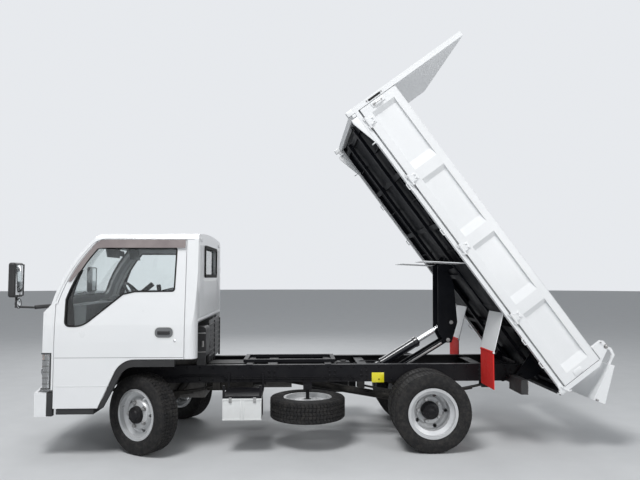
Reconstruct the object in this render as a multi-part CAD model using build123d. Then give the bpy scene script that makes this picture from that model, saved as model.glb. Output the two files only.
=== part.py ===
from build123d import *
import math
import os

# A light cab-over dump truck, drawn with its load bed raised to the top of its travel.
# Millimetres. X points forward, Y to the truck's left, Z up from the ground.
# Lengths are drawn from the rear axle and moved to the origin when each piece is written.

# Overall layout
WHEELBASE = 2490
ORIGIN_AHEAD = 985        # the origin lies this far ahead of the rear axle, midway along
BODY_WIDTH = 1690
PANEL_GAP = 6             # open seam round a door, gate or flap
SEAT_GAP = 0.3            # between a curved piece and what carries it
RUNNING = 0.05            # radial clearance of a shaft in its bore

# Wheels and tyres
TYRE_RADIUS = 345
TYRE_WIDTH = 205
RIM_RADIUS = 221
RIM_SEAT = 203            # bead seat radius
RIM_WALL = 8
RIM_FLANGE_IN = 24        # rim flange inside the tyre's side
DISC_WALL = 11
FRONT_WHEEL_Y = 695       # middle of the front tyre
REAR_OUTER_Y = 718
DUAL_SPACING = 231        # between the middles of the twin tyres
SPINDLE_RADIUS = 34
HUB_RADIUS = 70
VENT_COUNT = 5
VENT_RADIUS = 17
VENT_CIRCLE = 142
STUD_COUNT = 5
STUD_CIRCLE = 101

# Steering
KINGPIN_Y = 598
KINGPIN_RADIUS = 17
STEER_REST = -34          # degrees, negative is to the truck's right

# Ladder frame
RAIL_FRONT = 3215
RAIL_REAR = -950
RAIL_TOP = 716
RAIL_DEPTH = 160
RAIL_OUTER_Y = 370
RAIL_FLANGE = 62
RAIL_WALL = 8
TRAY_RISE = 30            # height of the hoist's tray above the rails
CROSS_MEMBER_LENGTH = 90
CROSS_MEMBER_DEPTH = 96
HOIST_CROSS_X = 560       # cross member that carries the hoist's feet
CROSS_MEMBERS = [         # distance ahead of the rear axle
    3110, 1430, 860, HOIST_CROSS_X, -560, -820,
]
TOW_EYE = (-885, 525)     # bore of the rear towing eye
TOW_EYE_BORE = 20
TOW_EYE_WALL = 24

# Front and rear axles
AXLE_BEAM_DEPTH = 76
AXLE_BEAM_WIDTH = 62
AXLE_DROP = 62            # how far the middle of the front beam lies below its ends
SPRING_Y = 330
SPRING_WIDTH = 60
SPRING_LEAF = 11
SPRING_EYE = 18
SPRING_DROP = 40          # spring eyes below the rails
FRONT_SPRING = dict(reach=545, camber=60, leaves=3, middle=WHEELBASE)
REAR_SPRING = dict(reach=590, camber=70, leaves=5, middle=0)
AXLE_TUBE_RADIUS = 56
DIFF_RADIUS = 148

# Engine, driveline and what hangs on the frame
ENGINE = dict(rear=2065, front=2695, half=270, bottom=400, top=1015)
GEARBOX = dict(rear=1620, half=130, bottom=440, top=700)
GEARBOX_TAIL = 90
SHAFT_START = (1500, 560)
SHAFT_END_X = 250
SHAFT_RADIUS = 36
MUFFLER = dict(rear=1250, front=1800, out=560, height=450, radius=105)
EXHAUST_RADIUS = 26
EXHAUST_TAIL = 1150
EXHAUST_BEND = (2000, 2095)
HANGER_WIDTH = 40
MUFFLER_HANGERS = [1340, 1680]
FUEL_TANK = dict(rear=560, front=1120, inner=460, outer=790, bottom=300, top=560, corner=40)
TANK_HANGERS = [620, 1020]
BATTERY = dict(rear=1500, front=1838, inner=560, outer=800, bottom=304, top=487)
RACK_SHEET = 23
RACK_POST = 20
RACK_POST_TOP = 600
AIR_CLEANER = dict(rear=2022, front=2210, inner=290, outer=540, bottom=800, top=1085, corner=30)
AIR_CLEANER_FOOT = (2050, 2130)

# Load bed, drawn lowered and level
DUMP_ANGLE = 53.6         # raised angle at rest
HINGE_X = -923
HINGE_Z = 596
HINGE_SHAFT_RADIUS = 20
HINGE_EAR_Y = 392         # inner face of the bed's ears
HINGE_EAR_WALL = 16
BED_REAR = -1118
BED_FRONT = 1962          # rear face of the headboard
FLOOR_TOP = 806
FLOOR_WALL = 24
SILL_BOTTOM = 727
SILL_TOP = 762
SILL_WEB = 12             # upright wall between the sill and the floor
SILL_WIDTH = 45
BED_INNER_WIDTH = BODY_WIDTH - 2 * SILL_WIDTH
MAIN_BEAM_BOTTOM = 726
MAIN_BEAM_Y = 330
MAIN_BEAM_WIDTH = 58
BED_CROSS_DEPTH = 24      # between the main beams
BED_OUTRIGGER_DEPTH = 36
BED_CROSS_WIDTH = 48
BED_CROSS_PITCH = 582

# Side gates
GATE_HEIGHT = 357         # above the floor
GATE_DROP = 27            # how far the gates reach below the floor
GATE_WALL = SILL_WIDTH
GATE_RECESS = 26
GATE_TOP_RAIL = 66
GATE_LOWER_RAIL = 78
GATE_BAND = 104
GATE_SHARP_SLOPE = 46
GATE_SOFT_SLOPE = 80
GATE_PANELS = 4
GATE_END_BAND = 80
GATE_HINGE_RADIUS = 11
GATE_HINGE_LENGTH = 60
GATE_HINGE_LUG = 24
GATE_PIN_RADIUS = 6
GATE_HINGE_OFF = 3        # hinge barrels stand this far off the body side
GATE_HINGES = [           # middle of each hinge, ahead of the rear axle
    -331, 427, 1190, 1819,
]

# Headboard
HEADBOARD_WALL = 48
HEADBOARD_BOTTOM = RAIL_TOP + PANEL_GAP
HEADBOARD_TOP = 1945
HEADBOARD_FRAME = 70
HEADBOARD_RECESS = 30
HEADBOARD_RIBS = 3

# Tail posts and tailgate, drawn closed
POST_FRONT = -1075
POST_HEAD_FRONT = -950
POST_HEAD_BOTTOM = 1175
POST_TOP = 1296
PIVOT_X = -1015
PIVOT_Z = 1281
PIVOT_RADIUS = 12
TAILGATE_TOP = 1157
TAILGATE_BOTTOM = FLOOR_TOP + PANEL_GAP
TAILGATE_TOP_DEPTH = 42
TAILGATE_FOOT_DEPTH = 112
TAILGATE_SHEET = 10
TAILGATE_INSET = 13       # the gate's ends lie this far inside the body's sides
TAILGATE_HALF = BODY_WIDTH / 2 - TAILGATE_INSET
TAILGATE_BAYS = 5
RIB_WALL = 8
ARM_WIDTH = 24
ARM_WALL = 16

# Rear fenders, drawn with the bed lowered
FENDER_INSET = 55
FENDER_OUTER_Y = BODY_WIDTH / 2 - FENDER_INSET
FENDER_INNER_Y = 392
FENDER_WALL = 6
FENDER_LIP = 28           # depth of the edge turned down outside
FENDER_CORNERS = [        # ahead of the rear axle, above the ground
    (541, 439), (302, 733), (-251, 739), (-474, 464),
]
FLAP_LENGTH = 325
FLAP_WALL = 8
FLAP_ROD_RADIUS = 5
FLAP_LUG = 12
FLAP_TUBE_RADIUS = 9
FLAP_ROD_OFF = 10         # from the fender's lower edge to the flap's hinge rod

# Hoist, raised
CYLINDER_FOOT = (384, 652)
CYLINDER_RADIUS = 47
BARREL_LENGTH = 560
BARREL_FOOT = 80          # from the foot's pin to the bottom of the bore
ROD_STROKE = 227
ROD_RADIUS = 24
EYE_RADIUS = 34
HOIST_PIN_RADIUS = 14
ARM_HEAD = (-250, 1625)   # the lift arm's pin on the bed
ARM_ROD_PIN = (-336, 1091)
ARM_LINK_PIN = (-303, 919)
LINK_FOOT = (255, 585)
LIFT_ARM_Y = 106          # inner face of each of the arm's plates
LIFT_ARM_WALL = 14
ARM_TUBE = (-366, 1291)   # tube that joins the arm's two plates
ARM_TUBE_RADIUS = 16
LINK_Y = 66
LINK_WALL = 14
LINK_WIDTH = 44

# Cab
CAB_WALL = 40
CAB_REAR = 2062
CAB_FACE = 3472           # foremost point, on the centre line
CAB_FACE_SWEEP = 3350     # radius of the front in plan
CAB_CORNER = 70           # rounding of the upright corners in plan
CAB_BELT = 980            # the sides lean in a little above this height
CAB_SHOULDER_Z = 1125     # and more above this one
SHOULDER_LEAN = 5         # how far the sides have leant in at the shoulder
ROOF_LEAN = 93            # and at the roof's edge
CAB_SHOULDER = (BODY_WIDTH / 2 - SHOULDER_LEAN, CAB_SHOULDER_Z)
CAB_ROOF = 1950
ROOF_CROWN = 32
CAB_ROOF_EDGE = CAB_ROOF - ROOF_CROWN
CAB_ROOF_HALF = BODY_WIDTH / 2 - ROOF_LEAN
SCREEN_FOOT = (3410, 1304)   # the windscreen's curve on the centre line
SCREEN_HEAD_X = 3052
SCREEN_HEAD_DROP = 55     # below the roof
SCREEN_BULGE = 48.7       # the curve's rise over its chord
CAB_BROW = 110            # rounding of the roof's front edge
CAB_BROW_X = 2985
CAB_GUTTER = 62           # rounding along the roof's sides
CAB_LEDGE_Z = 1236
CAB_CHIN = 580            # bottom of the front panel
CAB_SILL = 835            # bottom of the cab's side behind the front arch
CAB_DECK = 1150           # top of the raised floor over the engine
CAB_FLOOR = 830           # top of the footwell floor
CAB_DECK_FRONT = 2760
FLOOR_SHEET = 30
TILT_X = 3330
TILT_Z = 660
TILT_RADIUS = 20
TILT_LUG_Y = 300          # inner face of the cab's tilt lugs
TILT_LUG_WALL = 20

# Inside the cab
SEAT_INSET = 450          # from the cab's side to the middle of a seat
SEAT_Y = BODY_WIDTH / 2 - SEAT_INSET
SEAT = dict(rear=2270, front=2740, half=250, depth=130, corner=30)
SEAT_BACK = dict(wall=90, half=240, lift=60, headroom=240, lean=8)
DASH = dict(rear=3020, front=3258, bottom=1060, top=1290)
BULKHEAD = (3260, 3290)
STEERING_PLACE = (2890, 1330)
STEERING_RADIUS = 190
STEERING_TILT = 50
COLUMN_RADIUS = 26
COLUMN_LENGTH = 230
STEP = dict(rear=2925, front=3240, depth=150)

# Doors
DOOR_FRONT = 3266
DOOR_REAR = 2168
DOOR_HEAD_DROP = 88       # below the roof
DOOR_HEAD = CAB_ROOF - DOOR_HEAD_DROP
PILLAR_WIDTH = 62         # from the edge of the windscreen to the door
WINDOW_FRAME = 50         # from the door's edge to its glass
DOOR_FOOT = 424
DOOR_SKIN = 16
DOOR_REBATE = 22
ARCH_FRONT = 2893
ARCH_SHOULDER = 2705
ARCH_ROUND = 190
FLARE_WIDTH = 58
FLARE_FOOT = 34           # its width at the lower front end
FLARE_PROUD = 4
FLARE_DEPTH = 36
LINER_DEPTH = 150
FLARE_REAR = 2247
LINER_WALL = 6
WINDOW_WALL = 5
STEP_TOP = 418
STEP_WALL = 45

# Cab windows: side window outline, then the screen and the rear window
SIDE_WINDOW_SILL = [
    (2256, 1412), (2600, 1408), (2700, 1385), (3034, 1110), (3190, 1112),
]
SIDE_WINDOW_HEAD_RAIL = 62
SIDE_WINDOW_HEAD = DOOR_HEAD - SIDE_WINDOW_HEAD_RAIL
LAMP_SPAN = 245           # across the cab, from its side
LAMP_INNER_Y = BODY_WIDTH / 2 - LAMP_SPAN
LAMP_TOP = 894
LAMP_REAR = 3286
GRILLE_TO_LAMP = 60
GRILLE_HALF = LAMP_INNER_Y - GRILLE_TO_LAMP
GRILLE_BOTTOM = 720
GRILLE_TOP = 862
GRILLE_BARS = 4
GRILLE_DEPTH = 12

# Spare wheel: middle of its tyre
SPARE_PLACE = (1095, 470, 352)

# Tail lamps
LAMP_BAR_X = -790

# Front bumper
BUMPER_FACE = 3532
BUMPER_WALL = 26
BUMPER_TOP = 556
BUMPER_BOTTOM = 353
BUMPER_REAR = 3284
BUMPER_INSET = 13
BUMPER_HALF = BODY_WIDTH / 2 - BUMPER_INSET
BRACKET_TOP = 484         # under the sweep of the cab's chin as it tilts

# Mirrors
MIRROR_STAY_RADIUS = 9
MIRROR_STAY = [           # ahead of the rear axle, out from the cab's side, above the ground
    (3345, -85, 1290), (3430, 35, 1282), (3560, 80, 1290), (3556, 85, 1400),
]
MIRROR_HEAD = (3556, 103, 1515)
MIRROR_SIZE = (58, 178, 290)
PILLAR_INSET = 50
SCREEN_EDGE_Y = BODY_WIDTH / 2 - PILLAR_INSET
SCREEN_INSET = 145
SCREEN_HALF = BODY_WIDTH / 2 - SCREEN_INSET
SCREEN_BOTTOM = 1350
SCREEN_TOP = CAB_ROOF - 110
REAR_WINDOW_HALF = 400
REAR_WINDOW_BOTTOM = 1545
REAR_WINDOW_TOP = CAB_ROOF - 125


# Drawing helpers

def box(x0, x1, y0, y1, z0, z1):
    """A block between two corners."""
    middle = Pos((x0 + x1) / 2, (y0 + y1) / 2, (z0 + z1) / 2)
    return middle * Box(abs(x1 - x0), abs(y1 - y0), abs(z1 - z0))


def outline(*points):
    """A closed flat face with straight sides."""
    return make_face(Polyline(*points, close=True))


def across(face, y0, y1):
    """A face drawn in X and Z, made solid from y0 to y1."""
    return extrude(Plane.XZ.offset(-y1) * face, amount=y1 - y0)


def lengthways(face, x0, x1):
    """A face drawn in Y and Z, made solid from x0 to x1."""
    return extrude(Plane.YZ.offset(x0) * face, amount=x1 - x0)


def upward(face, z0, z1):
    """A face drawn in X and Y, made solid from z0 to z1."""
    return extrude(Plane.XY.offset(z0) * face, amount=z1 - z0)


def bar_y(x, z, radius, y0, y1):
    """A round bar across the truck."""
    return across(Pos(x, z) * Circle(radius), y0, y1)


def bar_z(x, y, radius, z0, z1):
    """An upright round bar."""
    return upward(Pos(x, y) * Circle(radius), z0, z1)


def bar_x(y, z, radius, x0, x1):
    """A round bar along the truck."""
    return lengthways(Pos(y, z) * Circle(radius), x0, x1)


def turned(shape, x, z, degrees):
    """A shape turned about an axis across the truck; positive lowers its nose."""
    return Pos(x, 0, z) * Rot(0, degrees, 0) * Pos(-x, 0, -z) * shape


def mirrored(shape):
    """The same shape on the truck's other side."""
    return mirror(shape, about=Plane.XZ)


def pair(shape):
    """A shape and its mirror image."""
    return [shape, mirrored(shape)]


def flat_link(start, end, width, y0, y1, bore):
    """A flat bar with round ends and a bore at its far end, between two points in X and Z."""
    dx, dz = end[0] - start[0], end[1] - start[1]
    reach = math.hypot(dx, dz)
    middle = Pos((start[0] + end[0]) / 2, (start[1] + end[1]) / 2)
    face = middle * Rot(0, 0, math.degrees(math.atan2(dz, dx))) * SlotCenterToCenter(reach, width)
    face -= Pos(*end) * Circle(bore)
    return across(face, y0, y1)


NODES = {}


def keep(name, *shapes):
    """File shapes under the name of their sub-part."""
    solids = []
    for shape in shapes:
        solids.extend(shape.solids())
    NODES.setdefault(name, []).extend(solids)


# Wheels

def tyre(y, radius=TYRE_RADIUS):
    """A tyre whose middle lies at y on the wheel's own axis, with a rounded shoulder."""
    half = TYRE_WIDTH / 2
    tread = half - 22
    seat = half - RIM_FLANGE_IN - SEAT_GAP
    bead = RIM_SEAT
    section = outline(
        (seat, bead), (seat, RIM_RADIUS + 2), (half - 9, RIM_RADIUS + 12), (half, bead + 66),
        (half - 4, radius - 40), (tread, radius - 7), (tread - 22, radius),
        (-tread + 22, radius), (-tread, radius - 7), (-half + 4, radius - 40),
        (-half, bead + 66), (-half + 9, RIM_RADIUS + 12), (-seat, RIM_RADIUS + 2), (-seat, bead),
    )
    ring = revolve(Plane.YZ * section, axis=Axis.Y)
    return Pos(0, y, 0) * ring


def wheel_holes(y0, y1):
    """The vents through a wheel's disc."""
    vent = Pos(VENT_CIRCLE, 0) * Circle(VENT_RADIUS)
    face = Sketch() + [Rot(0, 0, 360 / VENT_COUNT * (k + 0.5)) * vent for k in range(VENT_COUNT)]
    return across(face, y0, y1)


def studs(y0, y1):
    """The wheel's studs, standing out of its disc."""
    stud = Pos(STUD_CIRCLE, 0) * Circle(11)
    face = Sketch() + [Rot(0, 0, 360 / STUD_COUNT * k) * stud for k in range(STUD_COUNT)]
    return across(face, y0, y1)


def rim_section(disc_edge, disc_face, dish):
    """Half section of a rim: barrel, flanges and a disc that bows out to disc_face."""
    half = TYRE_WIDTH / 2 - RIM_FLANGE_IN
    seat = RIM_SEAT - SEAT_GAP
    inner = seat - RIM_WALL
    well = seat - 34
    barrel = outline(
        (half, RIM_RADIUS), (half + 9, RIM_RADIUS), (half + 9, inner + 2), (half - 30, inner),
        (half - 48, well - RIM_WALL), (-half + 48, well - RIM_WALL), (-half + 30, inner),
        (-half - 9, inner + 2), (-half - 9, RIM_RADIUS), (-half, RIM_RADIUS), (-half, seat),
        (-half + 26, seat), (-half + 44, well), (half - 44, well), (half - 26, seat), (half, seat),
    )
    rooted = well - RIM_WALL + 1 if abs(disc_edge) < half - 48 else inner + 1
    disc = outline(
        (disc_edge, rooted), (disc_edge, well - 26), (disc_face, VENT_CIRCLE - 24),
        (disc_face + dish, STUD_CIRCLE - 24), (disc_face + dish, SPINDLE_RADIUS + RUNNING),
        (disc_face + dish - DISC_WALL, SPINDLE_RADIUS + RUNNING),
        (disc_face + dish - DISC_WALL, STUD_CIRCLE - 20),
        (disc_face - DISC_WALL, VENT_CIRCLE - 20),
        (disc_edge - DISC_WALL, well - 30), (disc_edge - DISC_WALL, rooted),
    )
    return barrel + disc


def front_wheel():
    """The front rim with its hub, middle of the tyre at the origin, outside towards +Y."""
    rim = revolve(Plane.YZ * rim_section(28, 62, 8), axis=Axis.Y)
    hub = outline((-26, HUB_RADIUS), (60, HUB_RADIUS), (66, 56), (96, 50), (104, 40), (104, 0),
                  (88, 0), (88, SPINDLE_RADIUS + RUNNING), (-26, SPINDLE_RADIUS + RUNNING))
    rim += revolve(Plane.YZ * hub, axis=Axis.Y)
    rim += studs(55, 84)
    return rim - wheel_holes(0, 120)


def rear_wheels():
    """Twin rims on one hub, middle between the tyres at the origin, outside towards +Y."""
    off = DUAL_SPACING / 2
    outer = Pos(0, off, 0) * revolve(Plane.YZ * rim_section(-60, -78, -6), axis=Axis.Y)
    inner = Pos(0, -off, 0) * mirror(revolve(Plane.YZ * rim_section(-60, -78, -6), axis=Axis.Y),
                                     about=Plane.XZ)
    vents = wheel_holes(-off, off)
    hub = outline((-off, HUB_RADIUS + 12), (off - 84, HUB_RADIUS + 12), (off - 78, HUB_RADIUS),
                  (off - 20, 58), (off - 4, 44), (off - 4, 0), (off - 30, 0),
                  (off - 30, SPINDLE_RADIUS + RUNNING), (-off, SPINDLE_RADIUS + RUNNING))
    drum = revolve(Plane.YZ * hub, axis=Axis.Y)
    return (outer + inner - vents) + drum + studs(off - 96, off - 56)


def steered(shape, side):
    """A front wheel piece placed on its kingpin and turned to its angle at rest."""
    kingpin = Pos(WHEELBASE, side * KINGPIN_Y, TYRE_RADIUS)
    return kingpin * Rot(0, 0, STEER_REST) * Pos(0, side * (FRONT_WHEEL_Y - KINGPIN_Y), 0) * shape


def make_wheels():
    rim = front_wheel()
    twins = rear_wheels()
    twin_y = REAR_OUTER_Y - DUAL_SPACING / 2
    for side, name in ((1, "left"), (-1, "right")):
        one = rim if side > 0 else mirrored(rim)
        two = twins if side > 0 else mirrored(twins)
        keep("front_tyre_" + name, steered(tyre(0), side))
        keep("front_rim_" + name, steered(one, side))
        axle = Pos(0, 0, TYRE_RADIUS)
        keep("rear_tyres_" + name, axle * tyre(side * REAR_OUTER_Y),
             axle * tyre(side * (REAR_OUTER_Y - DUAL_SPACING)))
        keep("rear_rims_" + name, axle * Pos(0, side * twin_y, 0) * two)


# Chassis

def make_frame():
    low = RAIL_TOP - RAIL_DEPTH
    inner = RAIL_OUTER_Y - RAIL_WALL
    web = box(RAIL_REAR, RAIL_FRONT, inner, RAIL_OUTER_Y, low, RAIL_TOP)
    top = box(RAIL_REAR, RAIL_FRONT, RAIL_OUTER_Y - RAIL_FLANGE, inner, RAIL_TOP - RAIL_WALL,
              RAIL_TOP)
    foot = box(RAIL_REAR, RAIL_FRONT, RAIL_OUTER_Y - RAIL_FLANGE, inner, low, low + RAIL_WALL)
    rail = web + top + foot
    rail -= bar_y(HINGE_X, HINGE_Z, HINGE_SHAFT_RADIUS + SEAT_GAP, 0, BODY_WIDTH)
    horn = box(RAIL_FRONT - 60, TILT_X + 34, inner, RAIL_OUTER_Y, TILT_Z - 50, RAIL_TOP)
    horn += bar_y(TILT_X, TILT_Z, TILT_RADIUS, TILT_LUG_Y - 8, inner)
    keep("frame_rails", *pair(rail + horn))
    half = RAIL_OUTER_Y - RAIL_WALL
    z1 = RAIL_TOP - RAIL_WALL - 10
    z0 = z1 - CROSS_MEMBER_DEPTH
    for x in CROSS_MEMBERS:
        x0, x1 = x - CROSS_MEMBER_LENGTH / 2, x + CROSS_MEMBER_LENGTH / 2
        member = box(x0, x1, -half, half, z0, z1)
        member -= box(x0 + RAIL_WALL, x1, -half, half, z0 + RAIL_WALL, z1 - RAIL_WALL)
        if x == CROSS_MEMBERS[-1]:
            member += flat_link((x, z0 + 20), TOW_EYE, 72, -TOW_EYE_WALL / 2, TOW_EYE_WALL / 2,
                                TOW_EYE_BORE)
        keep("cross_members", member)


def make_subframe():
    """The hoist's frame on top of the rails, with the dump hinge and its shaft."""
    top = RAIL_TOP + TRAY_RISE
    tray = box(820, 1710, -205, 205, RAIL_TOP, top)
    tray -= box(860, 1670, -165, 165, RAIL_TOP, top)
    feet = Part()
    for x in (900, 1640):
        feet += box(x - 30, x + 30, -RAIL_OUTER_Y, RAIL_OUTER_Y, RAIL_TOP, RAIL_TOP + 5)
    keep("subframe", tray + feet)
    half = RAIL_OUTER_Y - RAIL_WALL
    reach = HOIST_CROSS_X - CROSS_MEMBER_LENGTH / 2
    inner = LINK_Y + LINK_WALL + 6
    cheek = outline((reach, CYLINDER_FOOT[1] + 40), (CYLINDER_FOOT[0] - 44, CYLINDER_FOOT[1] + 40),
                    (LINK_FOOT[0] - 40, LINK_FOOT[1] + 24), (LINK_FOOT[0] - 40, LINK_FOOT[1] - 36),
                    (reach, LINK_FOOT[1] - 20))
    plate = across(cheek, inner, inner + 12)
    plate -= bar_y(*LINK_FOOT, HOIST_PIN_RADIUS + RUNNING, 0, half)
    cheeks = plate + mirrored(plate)
    cheeks += bar_y(*CYLINDER_FOOT, HOIST_PIN_RADIUS, -inner - 14, inner + 14)
    keep("subframe", cheeks)
    shaft_half = HINGE_EAR_Y + HINGE_EAR_WALL + 24
    keep("subframe", bar_y(HINGE_X, HINGE_Z, HINGE_SHAFT_RADIUS, -shaft_half, shaft_half))


def leaf_spring(reach, camber, leaves, middle):
    """A stack of bowed leaves, each shorter than the one above."""
    radius = (reach ** 2 + camber ** 2) / (2 * camber)
    bottom = RAIL_TOP - RAIL_DEPTH - SPRING_DROP - camber
    stack = Part()
    for k in range(leaves):
        half = reach * (1 - 0.2 * k)
        lift = radius - math.sqrt(radius ** 2 - half ** 2)
        z = bottom - k * SPRING_LEAF
        lower = ThreePointArc((middle - half, z + lift), (middle, z), (middle + half, z + lift))
        upper = ThreePointArc((middle + half, z + lift + SPRING_LEAF), (middle, z + SPRING_LEAF),
                              (middle - half, z + lift + SPRING_LEAF))
        edge = lower + Line(lower @ 1, upper @ 0) + upper + Line(upper @ 1, lower @ 0)
        stack += across(make_face(edge), SPRING_Y - SPRING_WIDTH / 2, SPRING_Y + SPRING_WIDTH / 2)
    eyes = Part()
    for x in (middle - reach, middle + reach):
        eyes += bar_y(x, bottom + camber + SPRING_LEAF / 2, SPRING_EYE, SPRING_Y - SPRING_WIDTH / 2,
                      SPRING_Y + SPRING_WIDTH / 2)
    return stack + eyes


def spring_seat(spring):
    """Height of the underside of a spring's shortest leaf."""
    low = RAIL_TOP - RAIL_DEPTH - SPRING_DROP - spring["camber"]
    return low - (spring["leaves"] - 1) * SPRING_LEAF


def make_axles():
    for spring in (FRONT_SPRING, REAR_SPRING):
        keep("leaf_springs", *pair(leaf_spring(**spring)))
        low = RAIL_TOP - RAIL_DEPTH
        for end in (-1, 1):
            x = spring["middle"] + end * spring["reach"]
            hanger = box(x - 34, x + 34, SPRING_Y - SPRING_WIDTH / 2 - 12,
                         SPRING_Y + SPRING_WIDTH / 2 + 12, low - SPRING_DROP - 20, low)
            slot = box(x - 60, x + 60, SPRING_Y - SPRING_WIDTH / 2 - SEAT_GAP,
                       SPRING_Y + SPRING_WIDTH / 2 + SEAT_GAP, low - 80, low - 10)
            keep("leaf_springs", *pair(hanger - slot))
    beam_z = TYRE_RADIUS
    half_depth = AXLE_BEAM_DEPTH / 2
    y_end = KINGPIN_Y
    beam = outline((-y_end, beam_z + half_depth), (-y_end, beam_z - half_depth),
                   (-y_end + 78, beam_z - half_depth),
                   (-y_end + 178, beam_z - half_depth - AXLE_DROP),
                   (y_end - 178, beam_z - half_depth - AXLE_DROP),
                   (y_end - 78, beam_z - half_depth),
                   (y_end, beam_z - half_depth), (y_end, beam_z + half_depth),
                   (y_end - 90, beam_z + half_depth),
                   (y_end - 190, beam_z + half_depth - AXLE_DROP),
                   (-y_end + 190, beam_z + half_depth - AXLE_DROP),
                   (-y_end + 90, beam_z + half_depth))
    axle = lengthways(beam, WHEELBASE - AXLE_BEAM_WIDTH / 2, WHEELBASE + AXLE_BEAM_WIDTH / 2)
    for side in (-1, 1):
        axle += bar_z(WHEELBASE, side * KINGPIN_Y, 34, beam_z - half_depth, beam_z + half_depth)
        axle -= bar_z(WHEELBASE, side * KINGPIN_Y, KINGPIN_RADIUS + RUNNING, 0, RAIL_TOP)
        seat_top = spring_seat(FRONT_SPRING)
        axle += box(WHEELBASE - 55, WHEELBASE + 55, side * SPRING_Y - 34, side * SPRING_Y + 34,
                    beam_z + half_depth - AXLE_DROP - 4, seat_top)
    keep("front_axle", axle)
    for side, name in ((1, "left"), (-1, "right")):
        fork = box(-36, 36, -40, 62, half_depth + 2, half_depth + 26)
        fork += box(-36, 36, -40, 62, -half_depth - 26, -half_depth - 2)
        fork += box(-46, 46, 42, 66, -half_depth - 26, half_depth + 26)
        fork += bar_z(0, 0, KINGPIN_RADIUS, -half_depth - 34, half_depth + 34)
        fork += bar_y(0, 0, SPINDLE_RADIUS, 60, FRONT_WHEEL_Y - KINGPIN_Y + 84)
        fork = fork if side > 0 else mirrored(fork)
        place = Pos(WHEELBASE, side * KINGPIN_Y, TYRE_RADIUS) * Rot(0, 0, STEER_REST)
        keep("knuckle_" + name, place * fork)
    inner_face = REAR_OUTER_Y - DUAL_SPACING - TYRE_WIDTH / 2
    tube = bar_y(0, TYRE_RADIUS, AXLE_TUBE_RADIUS, -inner_face, inner_face)
    spindle_end = REAR_OUTER_Y - 36
    tube += bar_y(0, TYRE_RADIUS, SPINDLE_RADIUS, -spindle_end, spindle_end)
    bowl = bar_y(0, TYRE_RADIUS, DIFF_RADIUS, -95, 95)
    bowl += bar_x(0, TYRE_RADIUS, 70, 0, 250)
    for side in (-1, 1):
        tube += box(-55, 55, side * SPRING_Y - 34, side * SPRING_Y + 34, TYRE_RADIUS,
                    spring_seat(REAR_SPRING))
    keep("rear_axle", tube + bowl)


def make_running_gear():
    e, g, m = ENGINE, GEARBOX, MUFFLER
    keep("engine", box(e["rear"], e["front"], -e["half"], e["half"], e["bottom"], e["top"]))
    start, end = SHAFT_START, (SHAFT_END_X, TYRE_RADIUS)
    dx, dz = start[0] - end[0], start[1] - end[1]
    reach = math.hypot(dx, dz)
    shaft = Rot(0, 90 - math.degrees(math.atan2(dz, dx)), 0) * Cylinder(SHAFT_RADIUS, reach + 60)
    shaft = Pos((start[0] + end[0]) / 2, 0, (start[1] + end[1]) / 2) * shaft
    shaft &= box(end[0], start[0] + 20, -60, 60, 200, RAIL_TOP)
    casing = box(g["rear"], e["rear"], -g["half"], g["half"], g["bottom"], g["top"])
    casing += bar_x(0, start[1], GEARBOX_TAIL, start[0], g["rear"])
    keep("driveline", casing + shaft)
    low = RAIL_TOP - RAIL_DEPTH
    y, z = -m["out"], m["height"]
    level, drop = EXHAUST_BEND
    muffler = bar_x(y, z, m["radius"], m["rear"], m["front"])
    pipe = rod_path([(EXHAUST_TAIL, y, z), (level, y, z), (drop, y + 60, z - 20),
                     (drop, -e["half"], z - 20)], EXHAUST_RADIUS)
    straps = Part()
    for x in MUFFLER_HANGERS:
        straps += box(x, x + HANGER_WIDTH, y - 15, -RAIL_OUTER_Y, z + m["radius"] - 10, low + 29)
    keep("exhaust", muffler + pipe + straps)
    t = FUEL_TANK
    tank = box(t["rear"], t["front"], -t["outer"], -t["inner"], t["bottom"], t["top"])
    tank = fillet(tank.edges().filter_by(Axis.X), t["corner"])
    for x in TANK_HANGERS:
        tank += box(x, x + HANGER_WIDTH, -t["outer"] + 90, -RAIL_OUTER_Y, t["top"], low + 24)
    keep("fuel_tank", tank)
    c = BATTERY
    keep("battery_box", box(c["rear"], c["front"], c["inner"], c["outer"], c["bottom"], c["top"]))
    shelf = c["top"] + RACK_SHEET
    rack = box(c["rear"], c["front"], RAIL_OUTER_Y, c["outer"], c["top"], shelf)
    for x in (c["rear"], c["front"] - RACK_POST):
        rack += box(x, x + RACK_POST, c["outer"] - RACK_POST, c["outer"], shelf, RACK_POST_TOP)
        rack += box(x, x + RACK_POST, RAIL_OUTER_Y, RAIL_OUTER_Y + RACK_POST, shelf,
                    RACK_POST_TOP + 40)
    keep("frame_brackets", rack)
    a = AIR_CLEANER
    case = box(a["rear"], a["front"], a["inner"], a["outer"], a["bottom"], a["top"])
    case = fillet(case.edges().filter_by(Axis.Y), a["corner"])
    foot = box(*AIR_CLEANER_FOOT, RAIL_OUTER_Y - 40, RAIL_OUTER_Y, RAIL_TOP, a["bottom"])
    keep("air_cleaner", case + foot)


def make_spare():
    """The spare wheel, lying flat under the left side on its carrier."""
    x, y, z = SPARE_PLACE
    lie = Pos(x, y, z) * Rot(90, 0, 0)
    keep("spare_tyre", lie * tyre(0))
    rim = revolve(Plane.YZ * rim_section(28, 62, 8), axis=Axis.Y)
    keep("spare_rim", lie * (rim - wheel_holes(0, 120)))
    low = RAIL_TOP - RAIL_DEPTH
    under_disc = z + 62 + 8 - DISC_WALL
    arm = box(x - 40, x + 40, RAIL_OUTER_Y - 40, y + 60, low - 44, low)
    arm += bar_z(x, y, 16, under_disc - 10, low - 30)
    arm += bar_z(x, y, STUD_CIRCLE - 30, under_disc - 10, under_disc)
    keep("frame_brackets", arm)


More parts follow.
